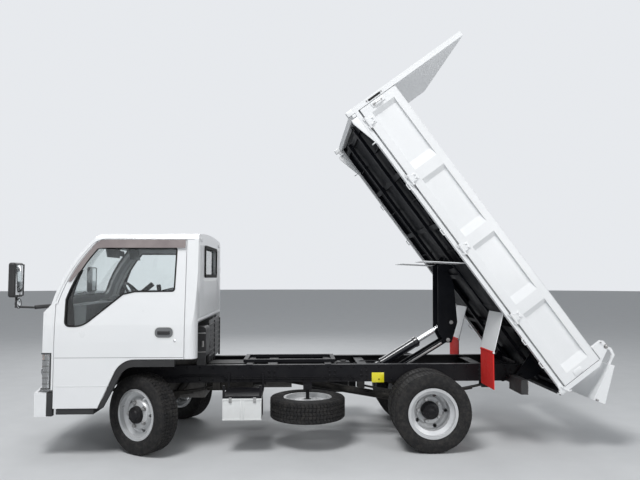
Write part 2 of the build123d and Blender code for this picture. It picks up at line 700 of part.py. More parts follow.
def bumper_curve(face):
    """Everything behind the front bumper's swept face."""
    disc = Plane.XY.offset(BUMPER_BOTTOM) * Pos(face - CAB_FACE_SWEEP, 0) * Circle(CAB_FACE_SWEEP)
    return extrude(disc, amount=BUMPER_TOP - BUMPER_BOTTOM)


def make_ends():
    wall = BUMPER_WALL
    solid = bumper_curve(BUMPER_FACE)
    solid &= box(BUMPER_REAR, BUMPER_FACE, -BUMPER_HALF, BUMPER_HALF, BUMPER_BOTTOM, BUMPER_TOP)
    hollow = bumper_curve(BUMPER_FACE - wall)
    hollow &= box(0, BUMPER_FACE, -BUMPER_HALF + wall, BUMPER_HALF - wall, BUMPER_BOTTOM,
                  BUMPER_TOP)
    low = RAIL_TOP - RAIL_DEPTH
    bracket = box(3080, BUMPER_FACE - wall / 2, RAIL_OUTER_Y - RAIL_FLANGE, RAIL_OUTER_Y,
                  BRACKET_TOP - 44, BRACKET_TOP)
    bracket &= bumper_curve(BUMPER_FACE - wall / 2)
    bracket += box(3080, 3150, RAIL_OUTER_Y - RAIL_FLANGE, RAIL_OUTER_Y, BRACKET_TOP, low)
    keep("front_bumper", (solid - hollow) + bracket + mirrored(bracket))
    lamp = box(LAMP_BAR_X - 60, LAMP_BAR_X, 470, 780, 505, 625)
    arm = box(LAMP_BAR_X - 30, LAMP_BAR_X, RAIL_OUTER_Y, 470, 560, 600)
    keep("tail_lamps", *pair(lamp + arm))


# Load bed, drawn lowered

def raised(shape):
    """A bed piece turned up about the dump hinge."""
    return turned(shape, HINGE_X, HINGE_Z, -DUMP_ANGLE)


def bed_cross_members():
    """Places of the cross members under the floor."""
    first = BED_REAR + 60
    count = int((BED_FRONT - 40 - first) // BED_CROSS_PITCH) + 1
    return [first + k * BED_CROSS_PITCH for k in range(count)]


def make_bed():
    half = BED_INNER_WIDTH / 2
    outer = BODY_WIDTH / 2
    under = FLOOR_TOP - FLOOR_WALL
    edge = half - PANEL_GAP
    floor = box(BED_REAR, BED_FRONT, -edge, edge, under, FLOOR_TOP)
    for side in (-1, 1):
        floor += box(BED_REAR, BED_FRONT, side * edge, side * outer, SILL_BOTTOM, SILL_TOP)
        floor += box(BED_REAR, BED_FRONT, side * (edge - SILL_WEB), side * edge,
                     under - BED_OUTRIGGER_DEPTH, under)
    floor += box(BED_REAR, POST_FRONT, -outer, outer, SILL_BOTTOM - 26, SILL_TOP)
    floor += box(BED_REAR, POST_FRONT, -edge, edge, SILL_TOP, under)
    post = outline((POST_FRONT, SILL_BOTTOM), (POST_FRONT, POST_HEAD_BOTTOM),
                   (POST_HEAD_FRONT, POST_HEAD_BOTTOM), (POST_HEAD_FRONT, POST_TOP - 16),
                   (POST_HEAD_FRONT - 15, POST_TOP), (PIVOT_X - 15, POST_TOP),
                   (PIVOT_X - 26, POST_TOP - 10), (BED_REAR, POST_HEAD_BOTTOM - 45),
                   (BED_REAR, SILL_BOTTOM - 26))
    stub = bar_y(PIVOT_X, PIVOT_Z, PIVOT_RADIUS, half - ARM_WALL - 14, half)
    for side in (1, -1):
        one = across(post, half, outer) + stub
        floor += one if side > 0 else mirrored(one)
    for middle in GATE_HINGES:
        x = middle - GATE_HINGE_LENGTH / 2
        ends = x + GATE_HINGE_LENGTH
        lug = bar_x(GATE_AXIS_Y, GATE_AXIS_Z, GATE_PIN_RADIUS, x - GATE_HINGE_LUG,
                    ends + GATE_HINGE_LUG)
        for start in (x - SEAT_GAP - GATE_HINGE_LUG, ends + SEAT_GAP):
            lug += bar_x(GATE_AXIS_Y, GATE_AXIS_Z, GATE_HINGE_RADIUS, start,
                         start + GATE_HINGE_LUG)
            lug += box(start, start + GATE_HINGE_LUG, outer - 1, GATE_AXIS_Y,
                       SILL_BOTTOM + 20, SILL_TOP)
        floor += lug + mirrored(lug)
    keep("bed_floor", raised(floor))
    beam_top = under - BED_CROSS_DEPTH
    for side in (-1, 1):
        beam = box(BED_REAR + 50, BED_FRONT - 60, side * MAIN_BEAM_Y - MAIN_BEAM_WIDTH / 2,
                   side * MAIN_BEAM_Y + MAIN_BEAM_WIDTH / 2, MAIN_BEAM_BOTTOM, beam_top)
        keep("bed_frame", raised(beam))
    sill_inner = edge - SILL_WEB
    beam_outer = MAIN_BEAM_Y + MAIN_BEAM_WIDTH / 2
    for x in bed_cross_members():
        x1 = x + BED_CROSS_WIDTH
        member = box(x, x1, -sill_inner, sill_inner, beam_top, under)
        for side in (-1, 1):
            member += box(x, x1, side * beam_outer, side * sill_inner,
                          under - BED_OUTRIGGER_DEPTH, under)
        keep("bed_frame", raised(member))
    ear_rear = bed_cross_members()[0] + BED_CROSS_WIDTH
    ear = outline((ear_rear, under), (HINGE_X - 48, HINGE_Z - 24), (HINGE_X, HINGE_Z - 46),
                  (HINGE_X + 48, HINGE_Z - 24), (HINGE_X + 110, under))
    plate = across(ear, HINGE_EAR_Y, HINGE_EAR_Y + HINGE_EAR_WALL)
    plate -= bar_y(HINGE_X, HINGE_Z, HINGE_SHAFT_RADIUS + RUNNING, 0, outer)
    keep("bed_frame", *[raised(one) for one in pair(plate)])
    keep("bed_frame", *[raised(one) for one in pair(lift_arm_bracket())])


def make_headboard():
    outer = BODY_WIDTH / 2
    front = BED_FRONT + HEADBOARD_WALL
    board = box(BED_FRONT, front, -outer, outer, HEADBOARD_BOTTOM, HEADBOARD_TOP)
    inset = HEADBOARD_FRAME
    bays = HEADBOARD_RIBS + 1
    clear = 2 * (outer - inset)
    rib = 60
    bay = (clear - HEADBOARD_RIBS * rib) / bays
    for k in range(bays):
        y = -outer + inset + k * (bay + rib)
        board -= box(front - HEADBOARD_RECESS, front, y, y + bay, HEADBOARD_BOTTOM + inset,
                     HEADBOARD_TOP - inset)
    keep("headboard", raised(board))


def gate_recesses():
    """Ends of each sunk panel along a side gate, from the rear."""
    clear = GATE_FRONT - GATE_REAR - 2 * GATE_END_BAND
    panel = (clear - (GATE_PANELS - 1) * GATE_BAND) / GATE_PANELS
    return [(GATE_REAR + GATE_END_BAND + k * (panel + GATE_BAND), panel)
            for k in range(GATE_PANELS)]


GATE_REAR = POST_FRONT + PANEL_GAP
GATE_FRONT = BED_FRONT - PANEL_GAP
GATE_AXIS_Y = BODY_WIDTH / 2 + GATE_HINGE_RADIUS + GATE_HINGE_OFF
GATE_AXIS_Z = FLOOR_TOP - GATE_DROP - 12


def make_side_gates():
    outer = BODY_WIDTH / 2
    bottom, top = FLOOR_TOP - GATE_DROP, FLOOR_TOP + GATE_HEIGHT
    gate = box(GATE_REAR, GATE_FRONT, outer - GATE_WALL, outer, bottom, top)
    for start, panel in gate_recesses():
        pocket = outline((start, outer), (start + GATE_SOFT_SLOPE, outer - GATE_RECESS),
                         (start + panel - GATE_SHARP_SLOPE, outer - GATE_RECESS),
                         (start + panel, outer))
        gate -= upward(pocket, bottom + GATE_LOWER_RAIL, top - GATE_TOP_RAIL)
    for middle in GATE_HINGES:
        x = middle - GATE_HINGE_LENGTH / 2
        knuckle = bar_x(GATE_AXIS_Y, GATE_AXIS_Z, GATE_HINGE_RADIUS, x, x + GATE_HINGE_LENGTH)
        knuckle += box(x, x + GATE_HINGE_LENGTH, outer, GATE_AXIS_Y + 2, GATE_AXIS_Z, bottom + 30)
        gate += knuckle - bar_x(GATE_AXIS_Y, GATE_AXIS_Z, GATE_PIN_RADIUS + RUNNING, x - 10,
                                x + GATE_HINGE_LENGTH + 10)
    keep("side_gate_left", raised(gate))
    keep("side_gate_right", raised(mirrored(gate)))


def closed_tailgate():
    """The tailgate as it lies against the bed's rear edge."""
    inner = BED_REAR - PANEL_GAP
    wedge = outline((inner, TAILGATE_TOP), (inner - TAILGATE_TOP_DEPTH, TAILGATE_TOP + 12),
                    (inner - TAILGATE_FOOT_DEPTH, TAILGATE_BOTTOM + 14), (inner, TAILGATE_BOTTOM))
    panel = across(wedge, -TAILGATE_HALF, TAILGATE_HALF)
    hollow = offset(wedge, -TAILGATE_SHEET)
    low = hollow.vertices().sort_by(Axis.Y)[0]
    back = hollow.vertices().sort_by(Axis.X)[0]
    hollow += outline((low.X, low.Y), (back.X, back.Y), (back.X, TAILGATE_BOTTOM - 40),
                      (low.X, TAILGATE_BOTTOM - 40))
    bay = (2 * TAILGATE_HALF - RIB_WALL) / TAILGATE_BAYS
    for k in range(TAILGATE_BAYS):
        y = -TAILGATE_HALF + RIB_WALL + k * bay
        panel -= across(hollow, y, y + bay - RIB_WALL)
    half = BED_INNER_WIDTH / 2
    path = Polyline((PIVOT_X, PIVOT_Z), (PIVOT_X - 75, PIVOT_Z + 6), (PIVOT_X - 120, PIVOT_Z - 30),
                    (PIVOT_X - 120, TAILGATE_TOP - 40))
    neck = trace(path, ARM_WIDTH) + Pos(PIVOT_X, PIVOT_Z) * Circle(26)
    neck -= Pos(PIVOT_X, PIVOT_Z) * Circle(PIVOT_RADIUS + RUNNING)
    arm = across(neck, half - ARM_WALL - 8, half - 8)
    return panel + arm + mirrored(arm)


def tailgate_hang():
    """How far the closed gate swings out for its weight to hang under its pivots."""
    centre = raised(closed_tailgate()).center(CenterOf.MASS)
    pivot = raised(Pos(PIVOT_X, 0, PIVOT_Z) * Vertex(0, 0, 0)).center()
    return math.degrees(math.atan2(centre.X - pivot.X, pivot.Z - centre.Z))


def make_tailgate():
    hang = tailgate_hang()
    gate = turned(closed_tailgate(), PIVOT_X, PIVOT_Z, hang)
    keep("tailgate", raised(gate))
    return hang


def make_fenders():
    band = trace(Polyline(*FENDER_CORNERS), FENDER_WALL)
    sheet = across(band, FENDER_INNER_Y, FENDER_OUTER_Y)
    under = FLOOR_TOP - FLOOR_WALL
    (x1, z1), (x2, z2) = FENDER_CORNERS[1], FENDER_CORNERS[2]
    for x in (x1 - 60, x2 + 60):
        sheet += box(x - 20, x + 20, MAIN_BEAM_Y + MAIN_BEAM_WIDTH / 2, FENDER_OUTER_Y - 30,
                     min(z1, z2), under)
    lip = outline(*FENDER_CORNERS) & trace(Polyline(*FENDER_CORNERS), 2 * FENDER_LIP)
    sheet += across(lip, FENDER_OUTER_Y - FENDER_WALL, FENDER_OUTER_Y)
    rod_x, rod_z = flap_hinge()
    sheet += bar_y(rod_x, rod_z, FLAP_ROD_RADIUS, FENDER_INNER_Y, FENDER_OUTER_Y)
    lug = across(trace(Line(FENDER_CORNERS[3], (rod_x, rod_z)), FENDER_WALL)
                 + Pos(rod_x, rod_z) * Circle(FLAP_TUBE_RADIUS), 0, FLAP_LUG)
    sheet += Pos(0, FENDER_INNER_Y, 0) * lug + Pos(0, FENDER_OUTER_Y - FLAP_LUG, 0) * lug
    keep("rear_fenders", raised(sheet), raised(mirrored(sheet)))
    y0, y1 = FENDER_INNER_Y + FLAP_LUG + SEAT_GAP, FENDER_OUTER_Y - FLAP_LUG - SEAT_GAP
    flap = box(rod_x - FLAP_WALL / 2, rod_x + FLAP_WALL / 2, y0, y1, rod_z - FLAP_LENGTH, rod_z)
    flap += bar_y(rod_x, rod_z, FLAP_TUBE_RADIUS, y0, y1)
    flap -= bar_y(rod_x, rod_z, FLAP_ROD_RADIUS + RUNNING, y0, y1)
    hung = turned(flap, rod_x, rod_z, DUMP_ANGLE)
    keep("mud_flaps", raised(hung), raised(mirrored(hung)))


def flap_hinge():
    """Middle of the mud flap's hinge rod, in X and Z, with the bed lowered."""
    (x0, z0), (x1, z1) = FENDER_CORNERS[2], FENDER_CORNERS[3]
    reach = math.hypot(x1 - x0, z1 - z0)
    return x1 + (x1 - x0) * FLAP_ROD_OFF / reach, z1 + (z1 - z0) * FLAP_ROD_OFF / reach


# Hoist, drawn raised

def make_hoist():
    foot, head = CYLINDER_FOOT, ARM_ROD_PIN
    lean = math.degrees(math.atan2(head[1] - foot[1], head[0] - foot[0]))
    reach = math.hypot(head[0] - foot[0], head[1] - foot[1])
    barrel = Pos(foot[0], 0, foot[1]) * Rot(0, 90 - lean, 0)
    tube = barrel * Pos(0, 0, (BARREL_LENGTH + 30) / 2) * Cylinder(CYLINDER_RADIUS,
                                                                   BARREL_LENGTH - 30)
    bore = barrel * Pos(0, 0, BARREL_LENGTH / 2 + BARREL_FOOT) * Cylinder(ROD_RADIUS + RUNNING,
                                                                          BARREL_LENGTH)
    eye = bar_y(*foot, EYE_RADIUS + 8, -38, 38)
    keep("hoist_barrel", (tube + eye) - bore
         - bar_y(*foot, HOIST_PIN_RADIUS + RUNNING, -60, 60))
    rod_length = reach - BARREL_FOOT - ROD_STROKE
    rod = barrel * Pos(0, 0, reach - rod_length / 2) * Cylinder(ROD_RADIUS, rod_length)
    rod_eye = bar_y(*head, EYE_RADIUS, -36, 36)
    tip = LIFT_ARM_Y - SEAT_GAP
    keep("hoist_rod", rod + rod_eye + bar_y(*head, HOIST_PIN_RADIUS, -tip, tip))
    links = flat_link(LINK_FOOT, ARM_LINK_PIN, LINK_WIDTH, LINK_Y, LINK_Y + LINK_WALL,
                      HOIST_PIN_RADIUS)
    pins = bar_y(*LINK_FOOT, HOIST_PIN_RADIUS, -LINK_Y - LINK_WALL - 22, LINK_Y + LINK_WALL + 22)
    pins += bar_y(*ARM_LINK_PIN, HOIST_PIN_RADIUS, -tip, tip)
    keep("hoist_links", links + mirrored(links) + pins)
    top = ARM_HEAD
    arm = outline((top[0] + 40, top[1] + 34), (top[0] + 44, ARM_LINK_PIN[1] + 90),
                  (ARM_LINK_PIN[0] + 36, ARM_LINK_PIN[1] - 28),
                  (ARM_LINK_PIN[0] - 36, ARM_LINK_PIN[1] - 28),
                  (ARM_ROD_PIN[0] - 64, ARM_ROD_PIN[1]), (top[0] - 118, top[1] - 150),
                  (top[0] - 40, top[1] + 34))
    plate = across(arm, LIFT_ARM_Y, LIFT_ARM_Y + LIFT_ARM_WALL)
    plate -= bar_y(*top, HOIST_PIN_RADIUS + RUNNING, 0, 400)
    arms = plate + mirrored(plate)
    boss_y = LIFT_ARM_Y + LIFT_ARM_WALL + 8
    for pin in (ARM_ROD_PIN, ARM_LINK_PIN):
        boss = bar_y(*pin, HOIST_PIN_RADIUS + 12, LIFT_ARM_Y, boss_y)
        arms += boss + mirrored(boss)
    arms += bar_y(*ARM_TUBE, ARM_TUBE_RADIUS, -LIFT_ARM_Y - 1, LIFT_ARM_Y + 1)
    keep("lift_arm", arms)


def lift_arm_bracket():
    """One of the bed's brackets that carry the lift arm."""
    outer = LIFT_ARM_Y + LIFT_ARM_WALL
    head = turned(Pos(ARM_HEAD[0], 0, ARM_HEAD[1]) * Vertex(0, 0, 0), HINGE_X, HINGE_Z,
                  DUMP_ANGLE).center()
    under = FLOOR_TOP - FLOOR_WALL
    ear = outline((head.X - 70, under), (head.X - 30, head.Z - 20), (head.X, head.Z - 34),
                  (head.X + 30, head.Z - 20), (head.X + 70, under))
    plate = across(ear, outer + 6, outer + 18)
    return plate + bar_y(head.X, head.Z, HOIST_PIN_RADIUS, LIFT_ARM_Y - 4, outer + 18)


# Cab

def screen_curve():
    """Three points of the windscreen's curve on the centre line."""
    foot, head = SCREEN_FOOT, (SCREEN_HEAD_X, CAB_ROOF - SCREEN_HEAD_DROP)
    dx, dz = head[0] - foot[0], head[1] - foot[1]
    chord = math.hypot(dx, dz)
    middle = ((foot[0] + head[0]) / 2 + SCREEN_BULGE * dz / chord,
              (foot[1] + head[1]) / 2 - SCREEN_BULGE * dx / chord)
    return foot, middle, head


def cab_form(inset):
    """The closed form of the cab, drawn in by inset on every side but its open bottom."""
    top = CAB_ROOF + 10
    rear = CAB_REAR - 400
    foot, middle, head = screen_curve()
    edge = Polyline((rear, top), (rear, 100), (CAB_FACE - 17, 100), (CAB_FACE, 900),
                    (CAB_FACE, CAB_LEDGE_Z), foot)
    edge += ThreePointArc(foot, middle, head)
    edge += Polyline(head, (CAB_BROW_X, top), (rear, top))
    side = make_face(edge)
    brow = side.vertices().sort_by_distance((CAB_BROW_X, top, 0))[0]
    side = fillet(brow, CAB_BROW)
    side = offset(side, -inset) if inset else side
    axis_x = CAB_FACE - CAB_FACE_SWEEP
    spread = 60
    turn = Pos(axis_x, 0, 0) * Rot(0, 0, -spread / 2) * Pos(-axis_x, 0, 0)
    front = revolve(turn * (Plane.XZ * side), axis=Axis((axis_x, 0, 0), (0, 0, 1)),
                    revolution_arc=spread)
    half = BODY_WIDTH / 2
    crown = ThreePointArc((CAB_ROOF_HALF, CAB_ROOF_EDGE), (0, CAB_ROOF),
                          (-CAB_ROOF_HALF, CAB_ROOF_EDGE))
    y, z = CAB_SHOULDER
    walls = Polyline((-CAB_ROOF_HALF, CAB_ROOF_EDGE), (-y, z), (-half, CAB_BELT), (-half, 50),
                     (half, 50), (half, CAB_BELT), (y, z), (CAB_ROOF_HALF, CAB_ROOF_EDGE))
    section = make_face(crown + walls)
    edges = section.vertices().filter_by(lambda v: v.Y > z + 1)
    section = fillet(edges, CAB_GUTTER)
    section = offset(section, -inset) if inset else section
    plan = cab_plan(inset)
    body = front & upward(plan, 60, 2200)
    return body & lengthways(section, CAB_REAR - 300, CAB_FACE + 300)


def cab_plan(inset):
    """The cab from above, with round rear corners that meet its walls at a slight edge."""
    rear, side = CAB_REAR + inset, BODY_WIDTH / 2 - inset
    front = CAB_FACE + 40
    block = outline((rear, -side), (front, -side), (front, side), (rear, side))
    plan = block
    for y in (-1, 1):
        middle = Pos(CAB_REAR + CAB_CORNER, y * (BODY_WIDTH / 2 - CAB_CORNER))
        corner = Pos(CAB_REAR, y * BODY_WIDTH / 2) * Rectangle(2 * CAB_CORNER, 2 * CAB_CORNER)
        plan = (plan - corner) + (middle * Circle(CAB_CORNER + 1 - inset) & block)
    return plan


def pillar_arc(back):
    """The windscreen's edge on the cab's side, moved back."""
    sweep = CAB_FACE_SWEEP
    lost = sweep - math.sqrt(sweep ** 2 - SCREEN_EDGE_Y ** 2) + back
    return ThreePointArc(*[(x - lost, z) for x, z in screen_curve()])


def door_outline(grow=0):
    """The door's edge seen from the side; grow widens it."""
    face = outline((DOOR_FRONT, DOOR_FOOT), (DOOR_FRONT, DOOR_HEAD), (DOOR_REAR, DOOR_HEAD),
                   (DOOR_REAR, CAB_SILL), (ARCH_SHOULDER, CAB_SILL), (ARCH_FRONT, DOOR_FOOT))
    shoulder = face.vertices().sort_by_distance((ARCH_SHOULDER, CAB_SILL, 0))[0]
    face = fillet(shoulder, ARCH_ROUND)
    arc = pillar_arc(PILLAR_WIDTH)
    start = arc @ 0
    far = CAB_FACE + 200
    ahead = make_face(arc + Polyline(arc @ 1, (far, (arc @ 1).Y), (far, start.Y), start))
    face -= ahead
    return offset(face, grow) if grow else face


def window_outline(grow=0):
    """The side window's edge; grow widens it."""
    rear = SIDE_WINDOW_SILL[0][0] - 12
    front = SIDE_WINDOW_SILL[-1][0]
    face = outline(*SIDE_WINDOW_SILL, (front, SIDE_WINDOW_HEAD), (rear, SIDE_WINDOW_HEAD))
    arc = pillar_arc(PILLAR_WIDTH + WINDOW_FRAME)
    start = arc @ 0
    far = CAB_FACE + 200
    face -= make_face(arc + Polyline(arc @ 1, (far, (arc @ 1).Y), (far, start.Y), start))
    face = fillet(face.vertices().filter_by(lambda v: v.X < 2700 or v.Y < 1200), 16)
    return offset(face, grow) if grow else face


def screen_outline(grow=0):
    """The windscreen's edge seen from the front, in Y and Z."""
    face = outline((-SCREEN_HALF, SCREEN_BOTTOM), (SCREEN_HALF, SCREEN_BOTTOM),
                   (SCREEN_HALF - 60, SCREEN_TOP), (-SCREEN_HALF + 60, SCREEN_TOP))
    face = fillet(face.vertices(), 60)
    return offset(face, grow) if grow else face


def rear_window_outline(grow=0):
    """The rear window's edge, in Y and Z."""
    middle = (REAR_WINDOW_BOTTOM + REAR_WINDOW_TOP) / 2
    face = Pos(0, middle) * RectangleRounded(2 * REAR_WINDOW_HALF,
                                             REAR_WINDOW_TOP - REAR_WINDOW_BOTTOM, 30)
    return offset(face, grow) if grow else face


def make_cab():
    outer, inner = cab_form(0), cab_form(CAB_WALL)
    shell = outer - inner
    half = BODY_WIDTH / 2
    skin = cab_form(DOOR_SKIN)
    lower = box(CAB_REAR - 400, ARCH_FRONT, -half, half, 0, CAB_SILL)
    lower += box(ARCH_FRONT, CAB_FACE + 100, -half, half, 0, CAB_CHIN)
    lower += box(CAB_REAR - 400, CAB_REAR + 300, -half + 90, half - 90, 0, CAB_DECK)
    shell -= lower
    whole = across(door_outline(PANEL_GAP), -half, half)
    small = across(door_outline(-DOOR_REBATE + PANEL_GAP), -half, half)
    core = box(CAB_REAR - 10, CAB_FACE + 10, -half / 2, half / 2, 0, CAB_ROOF)
    shell -= (whole - core) & (outer - skin)
    shell -= small - core
    shell -= lengthways(screen_outline(), 2700, CAB_FACE + 100)
    shell -= lengthways(rear_window_outline(), CAB_REAR - 10, CAB_REAR + 200)
    for zone in front_zones():
        shell -= zone
    keep("cab_shell", shell)
    face = outer - skin
    slab = (across(door_outline(), 0, half) & face)
    inner_slab = across(door_outline(-DOOR_REBATE), 0, half) & (skin - inner)
    door = slab + inner_slab
    door -= across(window_outline(), 0, half)
    keep("door_left", door)
    keep("door_right", mirrored(door))
    pane = (cab_form(DOOR_SKIN) - cab_form(DOOR_SKIN + WINDOW_WALL))
    glass = across(window_outline(), half - 200, half) & pane
    keep("door_glass_left", glass)
    keep("door_glass_right", mirrored(glass))
    keep("cab_glass", pane & lengthways(screen_outline(), 2700, CAB_FACE + 100))
    keep("cab_glass", pane & lengthways(rear_window_outline(), CAB_REAR - 10, CAB_REAR + 200))
    return inner


def make_cab_inside(inner):
    half = BODY_WIDTH / 2 - CAB_WALL
    deck_low = CAB_DECK - FLOOR_SHEET
    toe, front = BULKHEAD
    sheet = outline((CAB_REAR + CAB_WALL, CAB_DECK), (CAB_DECK_FRONT, CAB_DECK),
                    (CAB_DECK_FRONT, CAB_FLOOR), (front, CAB_FLOOR),
                    (front, CAB_FLOOR - FLOOR_SHEET),
                    (CAB_DECK_FRONT - FLOOR_SHEET, CAB_FLOOR - FLOOR_SHEET),
                    (CAB_DECK_FRONT - FLOOR_SHEET, deck_low), (CAB_REAR + CAB_WALL, deck_low))
    floor = across(sheet, -half, half)
    cheek = box(CAB_REAR + 80, CAB_DECK_FRONT - FLOOR_SHEET, half - FLOOR_SHEET, half,
                CAB_SILL, deck_low)
    floor += cheek + mirrored(cheek)
    bulkhead = box(toe, front, -half, half, CAB_FLOOR, DASH["bottom"])
    lug = outline((TILT_X - 60, CAB_FLOOR - FLOOR_SHEET), (TILT_X - 34, TILT_Z - 10),
                  (TILT_X, TILT_Z - 34), (TILT_X + 30, TILT_Z - 16), (TILT_X + 10, 790),
                  (TILT_X - 40, CAB_FLOOR - FLOOR_SHEET))
    lugs = across(lug, TILT_LUG_Y, TILT_LUG_Y + TILT_LUG_WALL)
    lugs -= bar_y(TILT_X, TILT_Z, TILT_RADIUS + RUNNING, 0, half)
    keep("cab_floor", ((floor + bulkhead) & inner) + lugs + mirrored(lugs))
    edge = half - 40 - STEP["depth"]
    step = box(STEP["rear"], STEP["front"], edge, BODY_WIDTH / 2 - PANEL_GAP,
               STEP_TOP - STEP_WALL, STEP_TOP)
    step += box(STEP["rear"], STEP["front"], edge, edge + 10, STEP_TOP, CAB_FLOOR - FLOOR_SHEET)
    keep("arch_trims", *pair(step))
    x, z = STEERING_PLACE
    wheel_place = Pos(x, -SEAT_Y, z) * Rot(0, -STEERING_TILT, 0)
    column = wheel_place * Pos(0, 0, -COLUMN_LENGTH / 2 + 5) * Cylinder(COLUMN_RADIUS,
                                                                        COLUMN_LENGTH)
    dash = box(DASH["rear"], DASH["front"], -half, half, DASH["bottom"], DASH["top"])
    keep("dashboard", (dash & inner) - column)
    s, b = SEAT, SEAT_BACK
    for y in (-SEAT_Y, SEAT_Y):
        seat = box(s["rear"], s["front"], y - s["half"], y + s["half"], CAB_DECK,
                   CAB_DECK + s["depth"])
        seat = fillet(seat.edges(), s["corner"])
        back = box(s["rear"] - b["wall"], s["rear"], y - b["half"], y + b["half"],
                   CAB_DECK + b["lift"], CAB_ROOF - b["headroom"])
        back = turned(back, s["rear"] - b["wall"] / 2, CAB_DECK + b["lift"] + 40, -b["lean"])
        keep("seats", seat + back)
    ring = wheel_place * Torus(STEERING_RADIUS, 14)
    spokes = wheel_place * (Box(2 * STEERING_RADIUS, 30, 12) + Box(30, 2 * STEERING_RADIUS, 12))
    keep("steering_wheel", ring + spokes + column)


def front_zones():
    """The spaces of the two headlamps and the grille in the cab's face."""
    far = CAB_FACE + 60
    lamp = box(LAMP_REAR, far, LAMP_INNER_Y, BODY_WIDTH, CAB_CHIN - 10, LAMP_TOP)
    slot = box(CAB_FACE - 260, far, -GRILLE_HALF, GRILLE_HALF, GRILLE_BOTTOM, GRILLE_TOP)
    return lamp, mirrored(lamp), slot


def make_cab_front(inner):
    outer = cab_form(0)
    left, right, slot = front_zones()
    above_chin = box(0, CAB_FACE + 60, -BODY_WIDTH, BODY_WIDTH, CAB_CHIN, LAMP_TOP)
    wall = (outer - inner) & above_chin
    keep("headlamps", wall & left, wall & right)
    louvres = (cab_form(GRILLE_DEPTH) - inner) & slot
    pitch = (GRILLE_TOP - GRILLE_BOTTOM) / GRILLE_BARS
    for k in range(GRILLE_BARS):
        z = GRILLE_BOTTOM + (k + 0.5) * pitch
        gap = box(CAB_FACE - 260, CAB_FACE + 60, -GRILLE_HALF + 20, GRILLE_HALF - 20,
                  z - pitch * 0.28, z + pitch * 0.28)
        louvres -= gap - cab_form(GRILLE_DEPTH + 12)
    keep("grille", louvres)
    keep("arch_trims", *pair(arch_flare()))
    return outer


def arch_flare():
    """The dark band round the front wheel arch and the liner behind it."""
    half = BODY_WIDTH / 2
    low = DOOR_FOOT - 400
    dx, dz = ARCH_FRONT - ARCH_SHOULDER, CAB_SILL - DOOR_FOOT
    rear = DOOR_REAR - 300
    edge = outline((ARCH_FRONT + dx / dz * (DOOR_FOOT - low), low), (ARCH_SHOULDER, CAB_SILL),
                   (rear, CAB_SILL), (rear, low))
    corner = edge.vertices().sort_by_distance((ARCH_SHOULDER, CAB_SILL, 0))[0]
    edge = fillet(corner, ARCH_ROUND)
    slope = math.hypot(dx, dz)
    nx, nz = -dz / slope, -dx / slope
    wide, narrow = PANEL_GAP + FLARE_WIDTH, PANEL_GAP + FLARE_FOOT
    x1, z1 = ARCH_SHOULDER + nx * wide, CAB_SILL + nz * wide
    x2, z2 = ARCH_FRONT + nx * narrow, DOOR_FOOT + nz * narrow
    lean = (x2 - x1) / (z1 - z2)
    top = CAB_SILL - wide
    shoulder = (x1 + (z1 - top) * lean, top)
    opening = outline((x2 + (z2 - low) * lean, low), shoulder, (rear, top), (rear, low))
    corner = opening.vertices().sort_by_distance((*shoulder, 0))[0]
    opening = fillet(corner, ARCH_ROUND - FLARE_WIDTH)
    window = outline((FLARE_REAR, DOOR_FOOT), (FLARE_REAR, CAB_SILL), (ARCH_FRONT + 60, CAB_SILL),
                     (ARCH_FRONT + 60, DOOR_FOOT))
    whole = offset(edge, -PANEL_GAP)
    inner = half - FLARE_DEPTH
    flare = across((whole - opening) & window, inner, half + FLARE_PROUD)
    liner = whole - offset(edge, -PANEL_GAP - LINER_WALL)
    flare += across(liner & window, inner - LINER_DEPTH, inner)
    side = half - CAB_WALL
    flare += box(FLARE_REAR, ARCH_SHOULDER - ARCH_ROUND, side - FLOOR_SHEET, side,
                 CAB_SILL - PANEL_GAP - 1, CAB_SILL)
    return flare


def rod_path(points, radius):
    """A round rod along straight runs, with mitred corners."""
    path = Polyline(*points)
    start = Plane(origin=path @ 0, z_dir=path % 0)
    return sweep(start * Circle(radius), path=path, transition=Transition.RIGHT)


def make_mirrors(outer):
    side = Pos(0, BODY_WIDTH / 2, 0)
    stay = side * rod_path(MIRROR_STAY, MIRROR_STAY_RADIUS) - outer
    head = side * Pos(*MIRROR_HEAD) * Box(*MIRROR_SIZE)
    head = fillet(head.edges(), 20)
    keep("mirrors", *pair(max((stay + head).solids(), key=lambda solid: solid.volume)))


def build():
    make_wheels()
    make_frame()
    make_subframe()
    make_axles()
    make_running_gear()
    make_spare()
    make_ends()
    make_bed()
    make_headboard()
    make_side_gates()
    hang = make_tailgate()
    make_fenders()
    make_hoist()
    inner = make_cab()
    make_cab_inside(inner)
    outer = make_cab_front(inner)
    make_mirrors(outer)
    print("tailgate hangs open by", round(hang, 2))
    return hang


def write():
    os.makedirs("parts", exist_ok=True)
    for name, solids in NODES.items():
        placed = [Pos(-ORIGIN_AHEAD, 0, 0) * solid for solid in solids]
        whole = placed[0] if len(placed) == 1 else Compound(children=placed)
        export_step(whole, os.path.join("parts", name + ".step"))


build()
write()
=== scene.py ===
import math

import bmesh
import bpy
from mathutils import Matrix, Vector


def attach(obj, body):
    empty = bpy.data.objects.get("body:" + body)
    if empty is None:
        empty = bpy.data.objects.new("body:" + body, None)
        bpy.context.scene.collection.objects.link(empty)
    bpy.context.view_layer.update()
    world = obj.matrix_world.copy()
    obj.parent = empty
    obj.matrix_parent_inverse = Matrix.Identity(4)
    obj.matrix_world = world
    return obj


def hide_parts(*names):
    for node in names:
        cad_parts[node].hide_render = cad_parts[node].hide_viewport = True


# A light cab-over dump truck with its load bed raised: the finish of every surface,
# and the small pieces that the solids leave out. Metres, +X forward, +Y left, +Z up.

